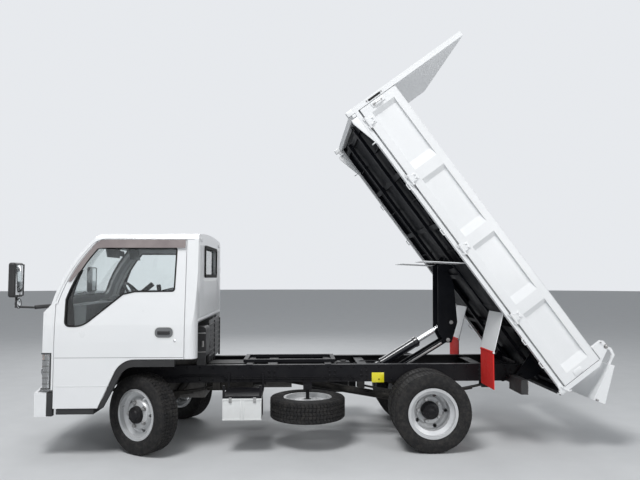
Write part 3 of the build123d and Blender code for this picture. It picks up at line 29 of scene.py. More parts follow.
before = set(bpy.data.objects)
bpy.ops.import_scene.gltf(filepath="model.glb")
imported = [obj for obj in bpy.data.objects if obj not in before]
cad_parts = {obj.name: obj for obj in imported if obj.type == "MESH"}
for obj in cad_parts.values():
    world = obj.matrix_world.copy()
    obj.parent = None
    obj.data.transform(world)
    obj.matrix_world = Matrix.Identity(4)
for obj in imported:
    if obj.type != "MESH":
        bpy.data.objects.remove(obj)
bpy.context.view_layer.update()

# Places of the truck, in metres ahead of the rear axle unless a name says otherwise
ORIGIN_AHEAD = 0.985
WHEELBASE = 2.49
TYRE_RADIUS = 0.345
TYRE_WIDTH = 0.205
RIM_RADIUS = 0.221
RIM_FLANGE_IN = 0.024
FRONT_WHEEL_Y = 0.695
KINGPIN_Y = 0.598
STEER_REST = math.radians(-34)
REAR_OUTER_Y = 0.718
DUAL_SPACING = 0.231
STUD_CIRCLE = 0.101
STUD_COUNT = 5
SPARE_PLACE = (1.095, 0.47, 0.352)
HINGE_X = -0.923
HINGE_Z = 0.596
DUMP_ANGLE = math.radians(53.6)
BODY_HALF = 0.845
SKIN = 0.8445             # a little inside the body's sides, where fittings start
FLOOR_TOP = 0.806
BED_FRONT = 1.962
HEADBOARD_FRONT = 2.01
GATE_HINGES = (-0.331, 0.427, 1.19, 1.819)
TAIL_PIVOT = (-1.015, 1.281)
TAIL_HANG = math.radians(26.3)
RAIL_OUTER = 0.37
RAIL_TOP = 0.716
RAIL_LOW = 0.556
SIDES = ((1, "left"), (-1, "right"))


def at(x, y, z):
    """A point of the truck, x metres ahead of its rear axle."""
    return Vector((x - ORIGIN_AHEAD, y, z))


def shifted(matrix):
    """A placing matrix in truck lengths, moved to the frame's origin."""
    return Matrix.Translation((-ORIGIN_AHEAD, 0, 0)) @ matrix


dump_hinge = at(HINGE_X, 0, HINGE_Z)
TRUCK = shifted(Matrix.Identity(4))
BED = (Matrix.Translation(dump_hinge) @ Matrix.Rotation(-DUMP_ANGLE, 4, "Y")
       @ Matrix.Translation(-dump_hinge) @ TRUCK)
tail_pivot = Vector((TAIL_PIVOT[0], 0, TAIL_PIVOT[1]))
TAILGATE = (BED @ Matrix.Translation(tail_pivot) @ Matrix.Rotation(TAIL_HANG, 4, "Y")
            @ Matrix.Translation(-tail_pivot))


# Camera, at the photograph's viewing angle

PHOTO_WIDTH = 640
PHOTO_HEIGHT = 480
FOCAL_PIXELS = 615.0
EYE = at(1.195, 6.22, 1.54)
UPRIGHT_PIXEL = 297.0     # column where lines across the truck vanish
HORIZON_PIXEL = 277.0
SENSOR_WIDTH = 36.0

pitch = math.atan((HORIZON_PIXEL - PHOTO_HEIGHT / 2) / FOCAL_PIXELS)
turn = math.atan((PHOTO_WIDTH / 2 - UPRIGHT_PIXEL) / FOCAL_PIXELS * math.cos(pitch))
ahead = Vector((-math.sin(turn) * math.cos(pitch), -math.cos(turn) * math.cos(pitch),
                math.sin(pitch)))
rightward = Vector((-math.cos(turn), math.sin(turn), 0))
camera_data = bpy.data.cameras.new("camera")
camera_data.lens = FOCAL_PIXELS / PHOTO_WIDTH * SENSOR_WIDTH
camera_data.sensor_width = SENSOR_WIDTH
camera_data.clip_end = 200
camera = bpy.data.objects.new("camera", camera_data)
bpy.context.scene.collection.objects.link(camera)
upward = rightward.cross(ahead)
camera.matrix_world = Matrix((
    (rightward.x, upward.x, -ahead.x, EYE.x),
    (rightward.y, upward.y, -ahead.y, EYE.y),
    (rightward.z, upward.z, -ahead.z, EYE.z),
    (0, 0, 0, 1),
))
bpy.context.scene.camera = camera
bpy.context.scene.view_settings.view_transform = "Standard"


# Materials

class Finish:
    """A material's node tree, built up a layer at a time on Object coordinates."""

    def __init__(self, name):
        self.material = bpy.data.materials.new(name)
        self.material.use_nodes = True
        self.nodes = self.material.node_tree.nodes
        self.links = self.material.node_tree.links
        self.shader = self.nodes["Principled BSDF"]
        self.coords = self.nodes.new("ShaderNodeTexCoord").outputs["Object"]
        self.colour = None
        self.height = None

    def set(self, **sockets):
        """Fixed values on the shader's own sockets."""
        for name, value in sockets.items():
            self.shader.inputs[name.replace("_", " ")].default_value = value
        return self

    def noise(self, scale, detail=4, roughness=0.55):
        """Noise over the piece, scale in features a metre."""
        texture = self.nodes.new("ShaderNodeTexNoise")
        texture.inputs["Scale"].default_value = scale
        texture.inputs["Detail"].default_value = detail
        texture.inputs["Roughness"].default_value = roughness
        self.links.new(self.coords, texture.inputs["Vector"])
        return texture.outputs["Fac"]

    def spread(self, value, low, high, out_low=0.0, out_high=1.0):
        """A value taken from one range to another, held at both ends."""
        node = self.nodes.new("ShaderNodeMapRange")
        for socket, number in zip(("From Min", "From Max", "To Min", "To Max"),
                                  (low, high, out_low, out_high)):
            node.inputs[socket].default_value = number
        self.links.new(value, node.inputs["Value"])
        return node.outputs["Result"]

    def times(self, a, b):
        """The product of two values."""
        node = self.nodes.new("ShaderNodeMath")
        node.operation = "MULTIPLY"
        self.links.new(a, node.inputs[0])
        self.links.new(b, node.inputs[1])
        return node.outputs["Value"]

    def upwards(self):
        """The object's own Z coordinate."""
        node = self.nodes.new("ShaderNodeSeparateXYZ")
        self.links.new(self.coords, node.inputs["Vector"])
        return node.outputs["Z"]

    def base(self, *colour):
        self.shader.inputs["Base Color"].default_value = (*colour, 1)
        self.colour = None
        self.plain = (*colour, 1)
        return self

    def tint(self, share, *colour):
        """Mixes a colour over the base where share is high."""
        node = self.nodes.new("ShaderNodeMix")
        node.data_type = "RGBA"
        self.links.new(share, node.inputs["Factor"])
        if self.colour is None:
            node.inputs["A"].default_value = self.plain
        else:
            self.links.new(self.colour, node.inputs["A"])
        node.inputs["B"].default_value = (*colour, 1)
        self.colour = node.outputs["Result"]
        self.links.new(self.colour, self.shader.inputs["Base Color"])
        return self

    def rough(self, value, low, high):
        self.links.new(self.spread(value, 0.3, 0.7, low, high), self.shader.inputs["Roughness"])
        return self

    def round_edges(self, radius):
        """Catches the light along edges as a rounded edge does."""
        node = self.nodes.new("ShaderNodeBevel")
        node.samples = 4
        node.inputs["Radius"].default_value = radius
        self.height = node.outputs["Normal"]
        self.links.new(self.height, self.shader.inputs["Normal"])
        return self

    def bump(self, value, strength, distance):
        node = self.nodes.new("ShaderNodeBump")
        node.inputs["Strength"].default_value = strength
        node.inputs["Distance"].default_value = distance
        self.links.new(value, node.inputs["Height"])
        if self.height is not None:
            self.links.new(self.height, node.inputs["Normal"])
        self.height = node.outputs["Normal"]
        self.links.new(self.height, self.shader.inputs["Normal"])
        return self


DUST = (0.36, 0.33, 0.29)


def enamel(name, colour, shade, dust=0.25, dust_top=1.0, gloss=(0.22, 0.38), coat=0.5, shine=0.5):
    """Sprayed enamel: faint orange peel, and road dust that thins out upwards."""
    made = Finish(name).base(*colour).set(Coat_Weight=coat, Coat_Roughness=0.08,
                                          Specular_IOR_Level=shine)
    made.tint(made.spread(made.noise(2.1, 3), 0.35, 0.75), *shade)
    low = made.spread(made.upwards(), 0.25, dust_top, dust, 0.0)
    patches = made.spread(made.noise(9, 6, roughness=0.7), 0.42, 0.72)
    made.tint(made.times(low, patches), *DUST)
    made.rough(made.noise(6, 4), *gloss)
    made.round_edges(0.003)
    made.bump(made.noise(420, 2), 0.03, 0.001)
    return made.material


def plastic(name, colour, shade, grain=900, gloss=(0.42, 0.6), strength=0.18):
    """Moulded plastic with a fine grain."""
    made = Finish(name).base(*colour)
    made.tint(made.spread(made.noise(5, 4), 0.35, 0.7), *shade)
    made.rough(made.noise(14, 4), *gloss)
    made.round_edges(0.002)
    made.bump(made.noise(grain, 2), strength, 0.0006)
    return made.material


def rubber(name, colour, shade, dusty=0.4):
    """Dull rubber with dust in patches."""
    made = Finish(name).base(*colour).set(Specular_IOR_Level=0.25)
    made.tint(made.spread(made.noise(16, 6, roughness=0.7), 0.4, 0.75), *shade)
    patches = made.spread(made.noise(30, 5, roughness=0.75), 0.45, 0.8, 0.0, dusty)
    made.tint(patches, 0.16, 0.145, 0.125)
    made.rough(made.noise(20, 4), 0.62, 0.86)
    made.bump(made.noise(700, 3), 0.22, 0.0008)
    return made.material


def bare_metal(name, colour, shade, gloss, metallic=1.0):
    """Plated, painted silver or cast metal, a little blotched."""
    made = Finish(name).base(*colour).set(Metallic=metallic)
    made.tint(made.spread(made.noise(7, 5, roughness=0.65), 0.4, 0.75), *shade)
    made.rough(made.noise(60, 3), *gloss)
    made.bump(made.noise(360, 2), 0.05, 0.0006)
    return made.material


def pane(name, colour):
    """Clear glass under a thin film of dirt."""
    made = Finish(name).base(*colour)
    made.set(Transmission_Weight=1.0, IOR=1.45, Roughness=0.02)
    film = made.spread(made.noise(3, 5, roughness=0.7), 0.5, 0.8, 0.0, 0.05)
    made.tint(film, 0.55, 0.56, 0.55)
    return made.material


WAVE_BANDS = 6.28         # bands a metre for each unit of a wave texture's scale


def woven(name, colour, thread, pitch=0.0022):
    """Cloth: two sets of threads over and under each other."""
    made = Finish(name).base(*colour)
    waves = []
    for direction in ("X", "Y"):
        wave = made.nodes.new("ShaderNodeTexWave")
        wave.bands_direction = direction
        wave.inputs["Scale"].default_value = 1 / pitch / WAVE_BANDS
        wave.inputs["Distortion"].default_value = 0.6
        wave.inputs["Detail"].default_value = 1
        made.links.new(made.coords, wave.inputs["Vector"])
        waves.append(wave.outputs["Fac"])
    weave = made.times(waves[0], waves[1])
    made.tint(made.spread(weave, 0.1, 0.8), *thread)
    made.tint(made.spread(made.noise(12, 5), 0.45, 0.8, 0.0, 0.35), *[c * 0.6 for c in colour])
    made.set(Roughness=0.9, Sheen_Weight=0.35)
    made.bump(weave, 0.5, 0.0006)
    return made.material


def lens(name, colour, transmission):
    """A ribbed lamp lens."""
    made = Finish(name).base(*colour).set(Transmission_Weight=transmission, IOR=1.49,
                                          Coat_Weight=0.6)
    ribs = made.nodes.new("ShaderNodeTexWave")
    ribs.bands_direction = "Z"
    ribs.inputs["Scale"].default_value = 45
    ribs.inputs["Distortion"].default_value = 0.0
    made.links.new(made.coords, ribs.inputs["Vector"])
    made.rough(made.noise(12, 3), 0.06, 0.14)
    made.bump(ribs.outputs["Fac"], 0.15, 0.0008)
    made.tint(made.spread(made.noise(9, 4), 0.5, 0.8, 0.0, 0.15), *[c * 0.7 for c in colour])
    return made.material


cab_white = enamel("cab_white", (0.83, 0.84, 0.85), (0.81, 0.822, 0.834), 0.03, 0.8, (0.27, 0.33))
bed_white = enamel("bed_white", (0.82, 0.83, 0.84), (0.79, 0.803, 0.812), 0.04, 1.2,
                   (0.36, 0.46), 0.25)
frame_black = enamel("frame_black", (0.006, 0.006, 0.008), (0.01, 0.01, 0.012), 0.06, 0.75,
                     (0.32, 0.55), 0.0, 0.18)
bed_black = enamel("bed_black", (0.004, 0.005, 0.008), (0.007, 0.008, 0.011), 0.02, 2.4,
                   (0.42, 0.65), 0.0, 0.12)
barrel_black = enamel("barrel_black", (0.005, 0.006, 0.009), (0.008, 0.009, 0.012), 0.02, 2.0,
                      (0.12, 0.22), 0.6, 0.4)
axle_black = enamel("axle_black", (0.008, 0.008, 0.008), (0.018, 0.016, 0.015), 0.2, 0.7,
                    (0.5, 0.7), 0.0, 0.25)
tyre_rubber = rubber("tyre_rubber", (0.012, 0.012, 0.013), (0.02, 0.019, 0.019), 0.22)
seal_rubber = rubber("seal_rubber", (0.012, 0.012, 0.012), (0.018, 0.018, 0.018), 0.1)
red_flap = rubber("red_flap", (0.72, 0.03, 0.026), (0.62, 0.024, 0.02), 0.04)
black_plastic = plastic("black_plastic", (0.02, 0.02, 0.021), (0.028, 0.028, 0.029))
grey_plastic = plastic("grey_plastic", (0.17, 0.175, 0.18), (0.13, 0.135, 0.14))
white_plastic = plastic("white_plastic", (0.74, 0.75, 0.75), (0.66, 0.67, 0.66))
wheel_silver = bare_metal("wheel_silver", (0.6, 0.61, 0.62), (0.5, 0.505, 0.51), (0.32, 0.48), 0.35)
chrome = bare_metal("chrome", (0.78, 0.79, 0.8), (0.7, 0.71, 0.72), (0.05, 0.12))
steel = bare_metal("steel", (0.42, 0.42, 0.42), (0.3, 0.29, 0.28), (0.3, 0.5))
cast_iron = bare_metal("cast_iron", (0.16, 0.155, 0.15), (0.09, 0.085, 0.08), (0.5, 0.75), 0.5)
glass = pane("window_glass", (0.9, 0.94, 0.94))
visor_smoke = plastic("visor_smoke", (0.27, 0.235, 0.23), (0.19, 0.16, 0.16), 300,
                      (0.06, 0.14), 0.02)
seat_cloth = woven("seat_cloth", (0.11, 0.115, 0.125), (0.2, 0.21, 0.23))
lamp_clear = lens("lamp_clear", (0.88, 0.9, 0.92), 0.75)
lamp_orange = lens("lamp_orange", (0.85, 0.25, 0.02), 0.35)
lamp_red = lens("lamp_red", (0.55, 0.01, 0.01), 0.3)
yellow_paint = enamel("yellow_paint", (0.85, 0.76, 0.02), (0.8, 0.7, 0.02), 0.02, 0.9)

# Which finish each solid of the truck has
NODE_FINISH = {
    cab_white: ["cab_shell", "door_left", "door_right", "front_bumper"],
    bed_white: ["bed_floor", "headboard", "side_gate_left", "side_gate_right", "tailgate",
                "rear_fenders"],
    bed_black: ["bed_frame", "lift_arm", "hoist_links"],
    frame_black: ["frame_rails", "cross_members", "subframe", "frame_brackets", "fuel_tank"],
    barrel_black: ["hoist_barrel"],
    axle_black: ["leaf_springs", "front_axle", "rear_axle", "knuckle_left", "knuckle_right",
                 "driveline"],
    cast_iron: ["engine", "exhaust"],
    black_plastic: ["air_cleaner", "arch_trims", "grille", "mirrors", "tail_lamps"],
    grey_plastic: ["cab_floor", "dashboard", "steering_wheel"],
    white_plastic: ["battery_box"],
    wheel_silver: ["front_rim_left", "front_rim_right", "rear_rims_left", "rear_rims_right",
                   "spare_rim"],
    tyre_rubber: ["front_tyre_left", "front_tyre_right", "rear_tyres_left", "rear_tyres_right",
                  "spare_tyre"],
    chrome: ["hoist_rod"],
    glass: ["cab_glass", "door_glass_left", "door_glass_right"],
    lamp_clear: ["headlamps"],
    seat_cloth: ["seats"],
    red_flap: ["mud_flaps"],
}
for material, names in NODE_FINISH.items():
    for name in names:
        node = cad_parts[name]
        node.data.materials.clear()
        node.data.materials.append(material)


# Shapes that the small pieces are made of

def added(bm, before):
    """The points added to a mesh since before."""
    return [v for v in bm.verts if v not in before]


def outward(bm, verts=None):
    """Turns the faces at some points of a mesh outwards, or all of its faces."""
    faces = bm.faces[:] if verts is None else list({f for v in verts for f in v.link_faces})
    bmesh.ops.recalc_face_normals(bm, faces=faces)


def put(bm, before, matrix):
    """Moves what was added to a mesh since before."""
    verts = added(bm, before)
    bmesh.ops.transform(bm, matrix=matrix, verts=verts)
    return verts


def soften(bm, edges, width, segments=2):
    """Rounds some edges of a mesh."""
    bmesh.ops.bevel(bm, geom=edges, offset=width, offset_type="OFFSET", segments=segments,
                    profile=0.5, affect="EDGES", material=-1, clamp_overlap=True)


def block(bm, low, high, round_by=0.0, segments=2):
    """A block between two corners, its edges rounded."""
    before = set(bm.verts)
    low, high = Vector(low), Vector(high)
    made = bmesh.ops.create_cube(bm, size=1)["verts"]
    size = Matrix.Diagonal((*[abs(a - b) for a, b in zip(low, high)], 1))
    bmesh.ops.transform(bm, matrix=Matrix.Translation((low + high) / 2) @ size, verts=made)
    if round_by:
        soften(bm, list({e for v in made for e in v.link_edges}), round_by, segments)
    return added(bm, before)


def pair(bm, low, high, round_by=0.0, segments=2):
    """The same block on either side of the truck."""
    for side in (1, -1):
        block(bm, (low[0], side * low[1], low[2]), (high[0], side * high[1], high[2]),
              round_by, segments)


def rod(bm, start, end, radius, sides=24, round_by=0.0, far_radius=None):
    """A round bar, or a taper, from one point to another."""
    before = set(bm.verts)
    start, end = Vector(start), Vector(end)
    along = end - start
    made = bmesh.ops.create_cone(bm, cap_ends=True, segments=sides, radius1=radius,
                                 radius2=radius if far_radius is None else far_radius,
                                 depth=along.length)["verts"]
    if round_by:
        rims = [e for e in {e for v in made for e in v.link_edges}
                if len(e.link_faces) == 2 and e.calc_face_angle(0) > 1]
        soften(bm, rims, round_by)
    turned = along.to_track_quat("Z", "Y").to_matrix().to_4x4()
    return put(bm, before, Matrix.Translation((start + end) / 2) @ turned)


def across_bar(bm, middle, half, *shape):
    """A round bar across the truck, half its length on either side of its middle."""
    rod(bm, middle - Vector((0, half, 0)), middle + Vector((0, half, 0)), *shape)


def slab(bm, corners, push, round_by=0.0, segments=2):
    """A flat outline pushed into a solid."""
    before = set(bm.verts)
    face = bm.faces.new([bm.verts.new(c) for c in corners])
    grown = bmesh.ops.extrude_face_region(bm, geom=[face])["geom"]
    far = [g for g in grown if isinstance(g, bmesh.types.BMVert)]
    bmesh.ops.translate(bm, vec=Vector(push), verts=far)
    made = added(bm, before)
    outward(bm, made)
    if round_by:
        sharp = [e for e in {e for v in made for e in v.link_edges}
                 if len(e.link_faces) == 2 and e.calc_face_angle(0) > 0.5]
        soften(bm, sharp, round_by, segments)
    return added(bm, before)


def lathe(bm, profile, steps=64, matrix=Matrix.Identity(4)):
    """A profile of (radius, along) points turned about the Y axis, then placed."""
    before = set(bm.verts)
    verts = [bm.verts.new((radius, along, 0)) for radius, along in profile]
    edges = [bm.edges.new(pair) for pair in zip(verts, verts[1:])]
    bmesh.ops.spin(bm, geom=verts + edges, cent=(0, 0, 0), axis=(0, 1, 0), angle=math.tau,
                   steps=steps, use_merge=True)
    bmesh.ops.remove_doubles(bm, verts=added(bm, before), dist=1e-6)
    outward(bm, added(bm, before))
    return put(bm, before, matrix)


def piece(name, bm, material, body, place=None, sharp=35):
    """Makes one finished piece of a mesh: placed, smooth but for its sharp edges, on a body."""
    if place is not None:
        bmesh.ops.transform(bm, matrix=place, verts=bm.verts)
    limit = math.radians(sharp)
    for face in bm.faces:
        face.smooth = True
    for edge in bm.edges:
        if len(edge.link_faces) == 2 and edge.calc_face_angle(0) > limit:
            edge.smooth = False
    mesh = bpy.data.meshes.new(name)
    bm.to_mesh(mesh)
    bm.free()
    made = bpy.data.objects.new(name, mesh)
    bpy.context.scene.collection.objects.link(made)
    mesh.materials.append(material)
    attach(made, body)
    return made


def grown(bm, faces, push, before):
    """Pushes open faces into a closed solid."""
    far = [g for g in bmesh.ops.extrude_face_region(bm, geom=faces)["geom"]
           if isinstance(g, bmesh.types.BMVert)]
    bmesh.ops.translate(bm, vec=Vector(push), verts=far)
    made = added(bm, before)
    outward(bm, made)
    return made


def ribbon(bm, one, two, push):
    """A strip between two rows of points, pushed into a solid."""
    before = set(bm.verts)
    edges = []
    for row in (one, two):
        verts = [bm.verts.new(p) for p in row]
        edges += [bm.edges.new(pair) for pair in zip(verts, verts[1:])]
    faces = bmesh.ops.bridge_loops(bm, edges=edges)["faces"]
    return grown(bm, faces, push, before)


def surround(bm, corners, width, push):
    """A band inside a closed outline, pushed into a solid."""
    before = set(bm.verts)
    middle = bm.faces.new([bm.verts.new(c) for c in corners])
    middle.normal_update()
    band = bmesh.ops.inset_region(bm, faces=[middle], thickness=width, use_boundary=True,
                                  use_even_offset=True)["faces"]
    bmesh.ops.delete(bm, geom=[middle], context="FACES_ONLY")
    return grown(bm, band, push, before)


def pipe(bm, points, radius, sides=12, bend=0.03):
    """A bent round tube through points, its corners rounded."""
    path = []
    for k, corner in enumerate(points):
        corner = Vector(corner)
        if k in (0, len(points) - 1):
            path.append(corner)
            continue
        back, on = Vector(points[k - 1]) - corner, Vector(points[k + 1]) - corner
        reach = min(bend, back.length / 2.2, on.length / 2.2)
        start, end = corner + back.normalized() * reach, corner + on.normalized() * reach
        for step in range(5):
            t = step / 4
            path.append(start.lerp(corner, t).lerp(corner.lerp(end, t), t))
    rings = []
    before = set(bm.verts)
    for k, point in enumerate(path):
        heading = (path[min(k + 1, len(path) - 1)] - path[max(k - 1, 0)]).normalized()
        if k == 0:
            side = heading.orthogonal().normalized()
        else:
            side = (side - heading * side.dot(heading)).normalized()
        frame_of = Matrix((side, heading.cross(side), heading)).transposed().to_4x4()
        ring = bmesh.ops.create_circle(bm, segments=sides, radius=radius)["verts"]
        bmesh.ops.transform(bm, matrix=Matrix.Translation(point) @ frame_of, verts=ring)
        rings.append(ring)
    for a, b in zip(rings, rings[1:]):
        edges = [e for ring in (a, b) for e in {e for v in ring for e in v.link_edges}
                 if e.verts[0] in ring and e.verts[1] in ring]
        bmesh.ops.bridge_loops(bm, edges=edges)
    for ring in (rings[0], rings[-1]):
        bm.faces.new(ring)
    made = added(bm, before)
    outward(bm, made)
    return made


def nut(bm, place, across_flats, height, washer=True):
    """A hexagon nut or bolt head standing on its washer, along +Z, then placed."""
    before = set(bm.verts)
    if washer:
        rod(bm, (0, 0, 0), (0, 0, 0.0025), across_flats * 0.78, 16)
    rod(bm, (0, 0, 0), (0, 0, height), across_flats * 0.577, 6, 0.0012)
    rod(bm, (0, 0, height * 0.6), (0, 0, height * 1.35), across_flats * 0.28, 10)
    return put(bm, before, place)


def facing(point, direction):
    """A place at a point whose Z axis faces a direction."""
    turned = Vector(direction).to_track_quat("Z", "Y").to_matrix().to_4x4()
    return Matrix.Translation(Vector(point)) @ turned


def looking(x, y, z, way=1):
    """A place whose Y axis points forwards, or backwards."""
    return Matrix.Translation((x, y, z)) @ Matrix.Rotation(-way * math.pi / 2, 4, "Z")


# Tyres: ribs, cut tread blocks and sidewall rings

TREAD_PITCHES = 64
TREAD_DEPTH = 0.008


def off_axle(vert):
    """How far a point is from the Y axis."""
    return math.hypot(vert.co.x, vert.co.z)


def tyre_mesh(bm, matrix):
    """A tyre about the Y axis with its middle at the origin, then placed."""
    before = set(bm.verts)
    half = TYRE_WIDTH / 2
    bead = RIM_RADIUS + 0.002
    top = TYRE_RADIUS - TREAD_DEPTH
    edge = half - 0.02
    shoulder = [
        (edge, top - 0.001), (edge + 0.008, TYRE_RADIUS - 0.012),
        (half - 0.004, TYRE_RADIUS - 0.036), (half - 0.0015, TYRE_RADIUS - 0.046),
        (half, TYRE_RADIUS - 0.06), (half, RIM_RADIUS + 0.048),
        (half - 0.0015, RIM_RADIUS + 0.036), (half - 0.004, RIM_RADIUS + 0.034),
        (half - 0.006, RIM_RADIUS + 0.024), (half - 0.01, RIM_RADIUS + 0.012),
        (half - 0.018, RIM_RADIUS + 0.006), (half - RIM_FLANGE_IN, bead),
        (half - RIM_FLANGE_IN, bead - 0.016),
    ]
    ribs = 5
    width = 2 * edge / ribs
    left = [(r, y) for y, r in reversed(shoulder)]
    right = [(r, -y) for y, r in shoulder]
    middle = [(top, edge - width * k) for k in range(1, ribs)]
    made = lathe(bm, left + middle + right, TREAD_PITCHES)
    tread = [f for f in {f for v in made for f in v.link_faces}
             if min(off_axle(v) for v in f.verts) > top - 0.0015]
    for k in range(ribs + 1):
        y = edge - width * k
        ring = [v for v in made if abs(v.co.y - y) < 1e-5 and off_axle(v) > top - 0.002]
        swing = (0.35 if k % 2 else -0.1) * math.tau / TREAD_PITCHES
        bmesh.ops.rotate(bm, verts=ring, cent=(0, 0, 0), matrix=Matrix.Rotation(swing, 3, "Y"))
    bmesh.ops.inset_individual(bm, faces=tread, thickness=0.0028, depth=TREAD_DEPTH - 0.0012,
                               use_even_offset=True)
    return put(bm, before, matrix)


def front_wheel_place(side):
    """Where a front wheel stands, turned on its kingpin."""
    return shifted(Matrix.Translation((WHEELBASE, side * KINGPIN_Y, TYRE_RADIUS))
                   @ Matrix.Rotation(STEER_REST, 4, "Z")
                   @ Matrix.Translation((0, side * (FRONT_WHEEL_Y - KINGPIN_Y), 0)))


for side, word in SIDES:
    bm = bmesh.new()
    tyre_mesh(bm, front_wheel_place(side))
    made = piece("tyre_front_" + word, bm, tyre_rubber, "front_wheel_" + word)
    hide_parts("front_tyre_" + word)
    bm = bmesh.new()
    for y in (REAR_OUTER_Y, REAR_OUTER_Y - DUAL_SPACING):
        tyre_mesh(bm, shifted(Matrix.Translation((0, side * y, TYRE_RADIUS))))
    made = piece("tyres_rear_" + word, bm, tyre_rubber, "rear_wheels_" + word)
    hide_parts("rear_tyres_" + word)
bm = bmesh.new()
tyre_mesh(bm, shifted(Matrix.Translation(SPARE_PLACE) @ Matrix.Rotation(math.pi / 2, 4, "X")))
made = piece("tyre_spare", bm, tyre_rubber, "chassis")
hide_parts("spare_tyre")


# Wheels: nuts, hub caps and valves

def wheel_dress(bm, face, matrix):
    """Nuts on a wheel's studs round its disc, outside towards +Y."""
    before = set(bm.verts)
    for k in range(STUD_COUNT):
        spot = math.tau * k / STUD_COUNT
        point = (math.cos(spot) * STUD_CIRCLE, face, -math.sin(spot) * STUD_CIRCLE)
        nut(bm, facing(point, (0, 1, 0)), 0.03, 0.019)
    return put(bm, before, matrix)


def hub_cap(bm, profile, bolts, circle, face, matrix):
    """A turned cap with a ring of bolts."""
    before = set(bm.verts)
    lathe(bm, profile, 48)
    for k in range(bolts):
        spot = math.tau * (k + 0.5) / bolts
        point = (math.cos(spot) * circle, face, -math.sin(spot) * circle)
        nut(bm, facing(point, (0, 1, 0)), 0.012, 0.006, washer=False)
    return put(bm, before, matrix)


# Turned shapes, as (radius, along) pairs
FRONT_CAP = [(0.0, 0.122), (0.022, 0.121), (0.04, 0.117), (0.047, 0.109), (0.05, 0.106),
             (0.064, 0.104), (0.07, 0.1), (0.073, 0.088), (0.077, 0.072), (0.077, 0.064)]
REAR_CAP = [(0.0, 0.01), (0.022, 0.009), (0.03, 0.003), (0.056, 0.003), (0.068, -0.002),
            (0.071, -0.012), (0.074, -0.04), (0.08, -0.05), (0.08, -0.086)]
VALVE_CIRCLE = 0.172
VALVE_LEAN = 0.012        # how far the valve's tip lies inwards of its root
valve_way = Vector((math.cos(0.35), 0, math.sin(0.35)))
for side, word in SIDES:
    flip = Matrix.Scale(side, 4, (0, 1, 0))
    front = front_wheel_place(side) @ flip
    rear = shifted(Matrix.Translation((0, side * REAR_OUTER_Y, TYRE_RADIUS))) @ flip
    for name, place, body, face in (("nuts_front_", front, "front_wheel_", 0.064),
                                    ("nuts_rear_", rear, "rear_wheels_", -0.082)):
        bm = bmesh.new()
        wheel_dress(bm, face, place)
        root = valve_way * VALVE_CIRCLE + Vector((0, face + 0.006, 0))
        tip = valve_way * (VALVE_CIRCLE - VALVE_LEAN) + Vector((0, face + 0.04, 0))
        rod(bm, place @ root, place @ tip, 0.004, 12, 0.001)
        outward(bm)
        piece(name + word, bm, steel, body + word)
    for name, place, body, profile, bolts, circle, face in (
            ("cap_front_", front, "front_wheel_", FRONT_CAP, 6, 0.057, 0.1045),
            ("cap_rear_", rear, "rear_wheels_", REAR_CAP, 8, 0.045, 0.003)):
        bm = bmesh.new()
        hub_cap(bm, profile, bolts, circle, face, place)
        outward(bm)
        piece(name + word, bm, frame_black, body + word)


# Cab: its walls lean in above the belt, and the windscreen is an arc

WALL_HEIGHTS = [(0.0, 0.845), (0.98, 0.845), (1.125, 0.84), (1.918, 0.752), (3.0, 0.752)]
SCREEN_FOOT, SCREEN_MIDDLE, SCREEN_HEAD = (3.41, 1.304), (3.2727, 1.6247), (3.052, 1.895)
FACE_SWEEP = 3.35
PILLAR_Y = 0.795
FACE_X = 3.472
DOOR_REAR, DOOR_FRONT = 2.168, 3.266
WINDOW_HEAD = 1.8
WINDOW_BACK = 0.112       # from the pillar's edge back to the side window
QUARTER_FRONT = 3.186
WINDOW_SILL = [(2.256, 1.412), (2.6, 1.408), (2.7, 1.385), (3.034, 1.11), (3.19, 1.112)]


def sweep(y):
    """How far the cab's face falls back at a distance from its middle."""
    return FACE_SWEEP - math.sqrt(FACE_SWEEP ** 2 - y ** 2)


def wall_y(z):
    """Half the cab's width at a height."""
    for (z0, y0), (z1, y1) in zip(WALL_HEIGHTS, WALL_HEIGHTS[1:]):
        if z <= z1:
            return y0 + (y1 - y0) * (z - z0) / (z1 - z0)


def on_wall(x, z, off=0.0):
    """A point on the cab's left wall, or off it."""
    return (x, wall_y(z) + off, z)


def screen_x(z):
    """How far forward the windscreen's arc is at a height, on the centre line."""
    (x1, z1), (x2, z2), (x3, z3) = SCREEN_FOOT, SCREEN_MIDDLE, SCREEN_HEAD
    d = 2 * (x1 * (z2 - z3) + x2 * (z3 - z1) + x3 * (z1 - z2))
    a, b, c = x1 ** 2 + z1 ** 2, x2 ** 2 + z2 ** 2, x3 ** 2 + z3 ** 2
    cx = (a * (z2 - z3) + b * (z3 - z1) + c * (z1 - z2)) / d
    cz = (a * (x3 - x2) + b * (x1 - x3) + c * (x2 - x1)) / d
    radius = math.hypot(x1 - cx, z1 - cz)
    return cx + math.sqrt(radius ** 2 - (z - cz) ** 2)


def on_screen(y, z, off=0.0):
    """A point on the windscreen, or ahead of it."""
    return (screen_x(z) - sweep(y) + off, y, z)


def pillar_x(z, back):
    """How far forward a line back from the windscreen pillar's edge is at a height."""
    return screen_x(z) - sweep(PILLAR_Y) - back


def steps(start, end, count):
    """Evenly spaced numbers from start to end, in count steps."""
    return [start + (end - start) * k / count for k in range(count + 1)]


def rounded(middles, radius, parts):
    """An outline round the middles of its four corners, each turned through in parts."""
    return [(a + radius * math.cos(math.radians(angle)), b + radius * math.sin(math.radians(angle)))
            for quarter, (a, b) in enumerate(middles)
            for angle in steps(90 * quarter, 90 * quarter + 90, parts)]


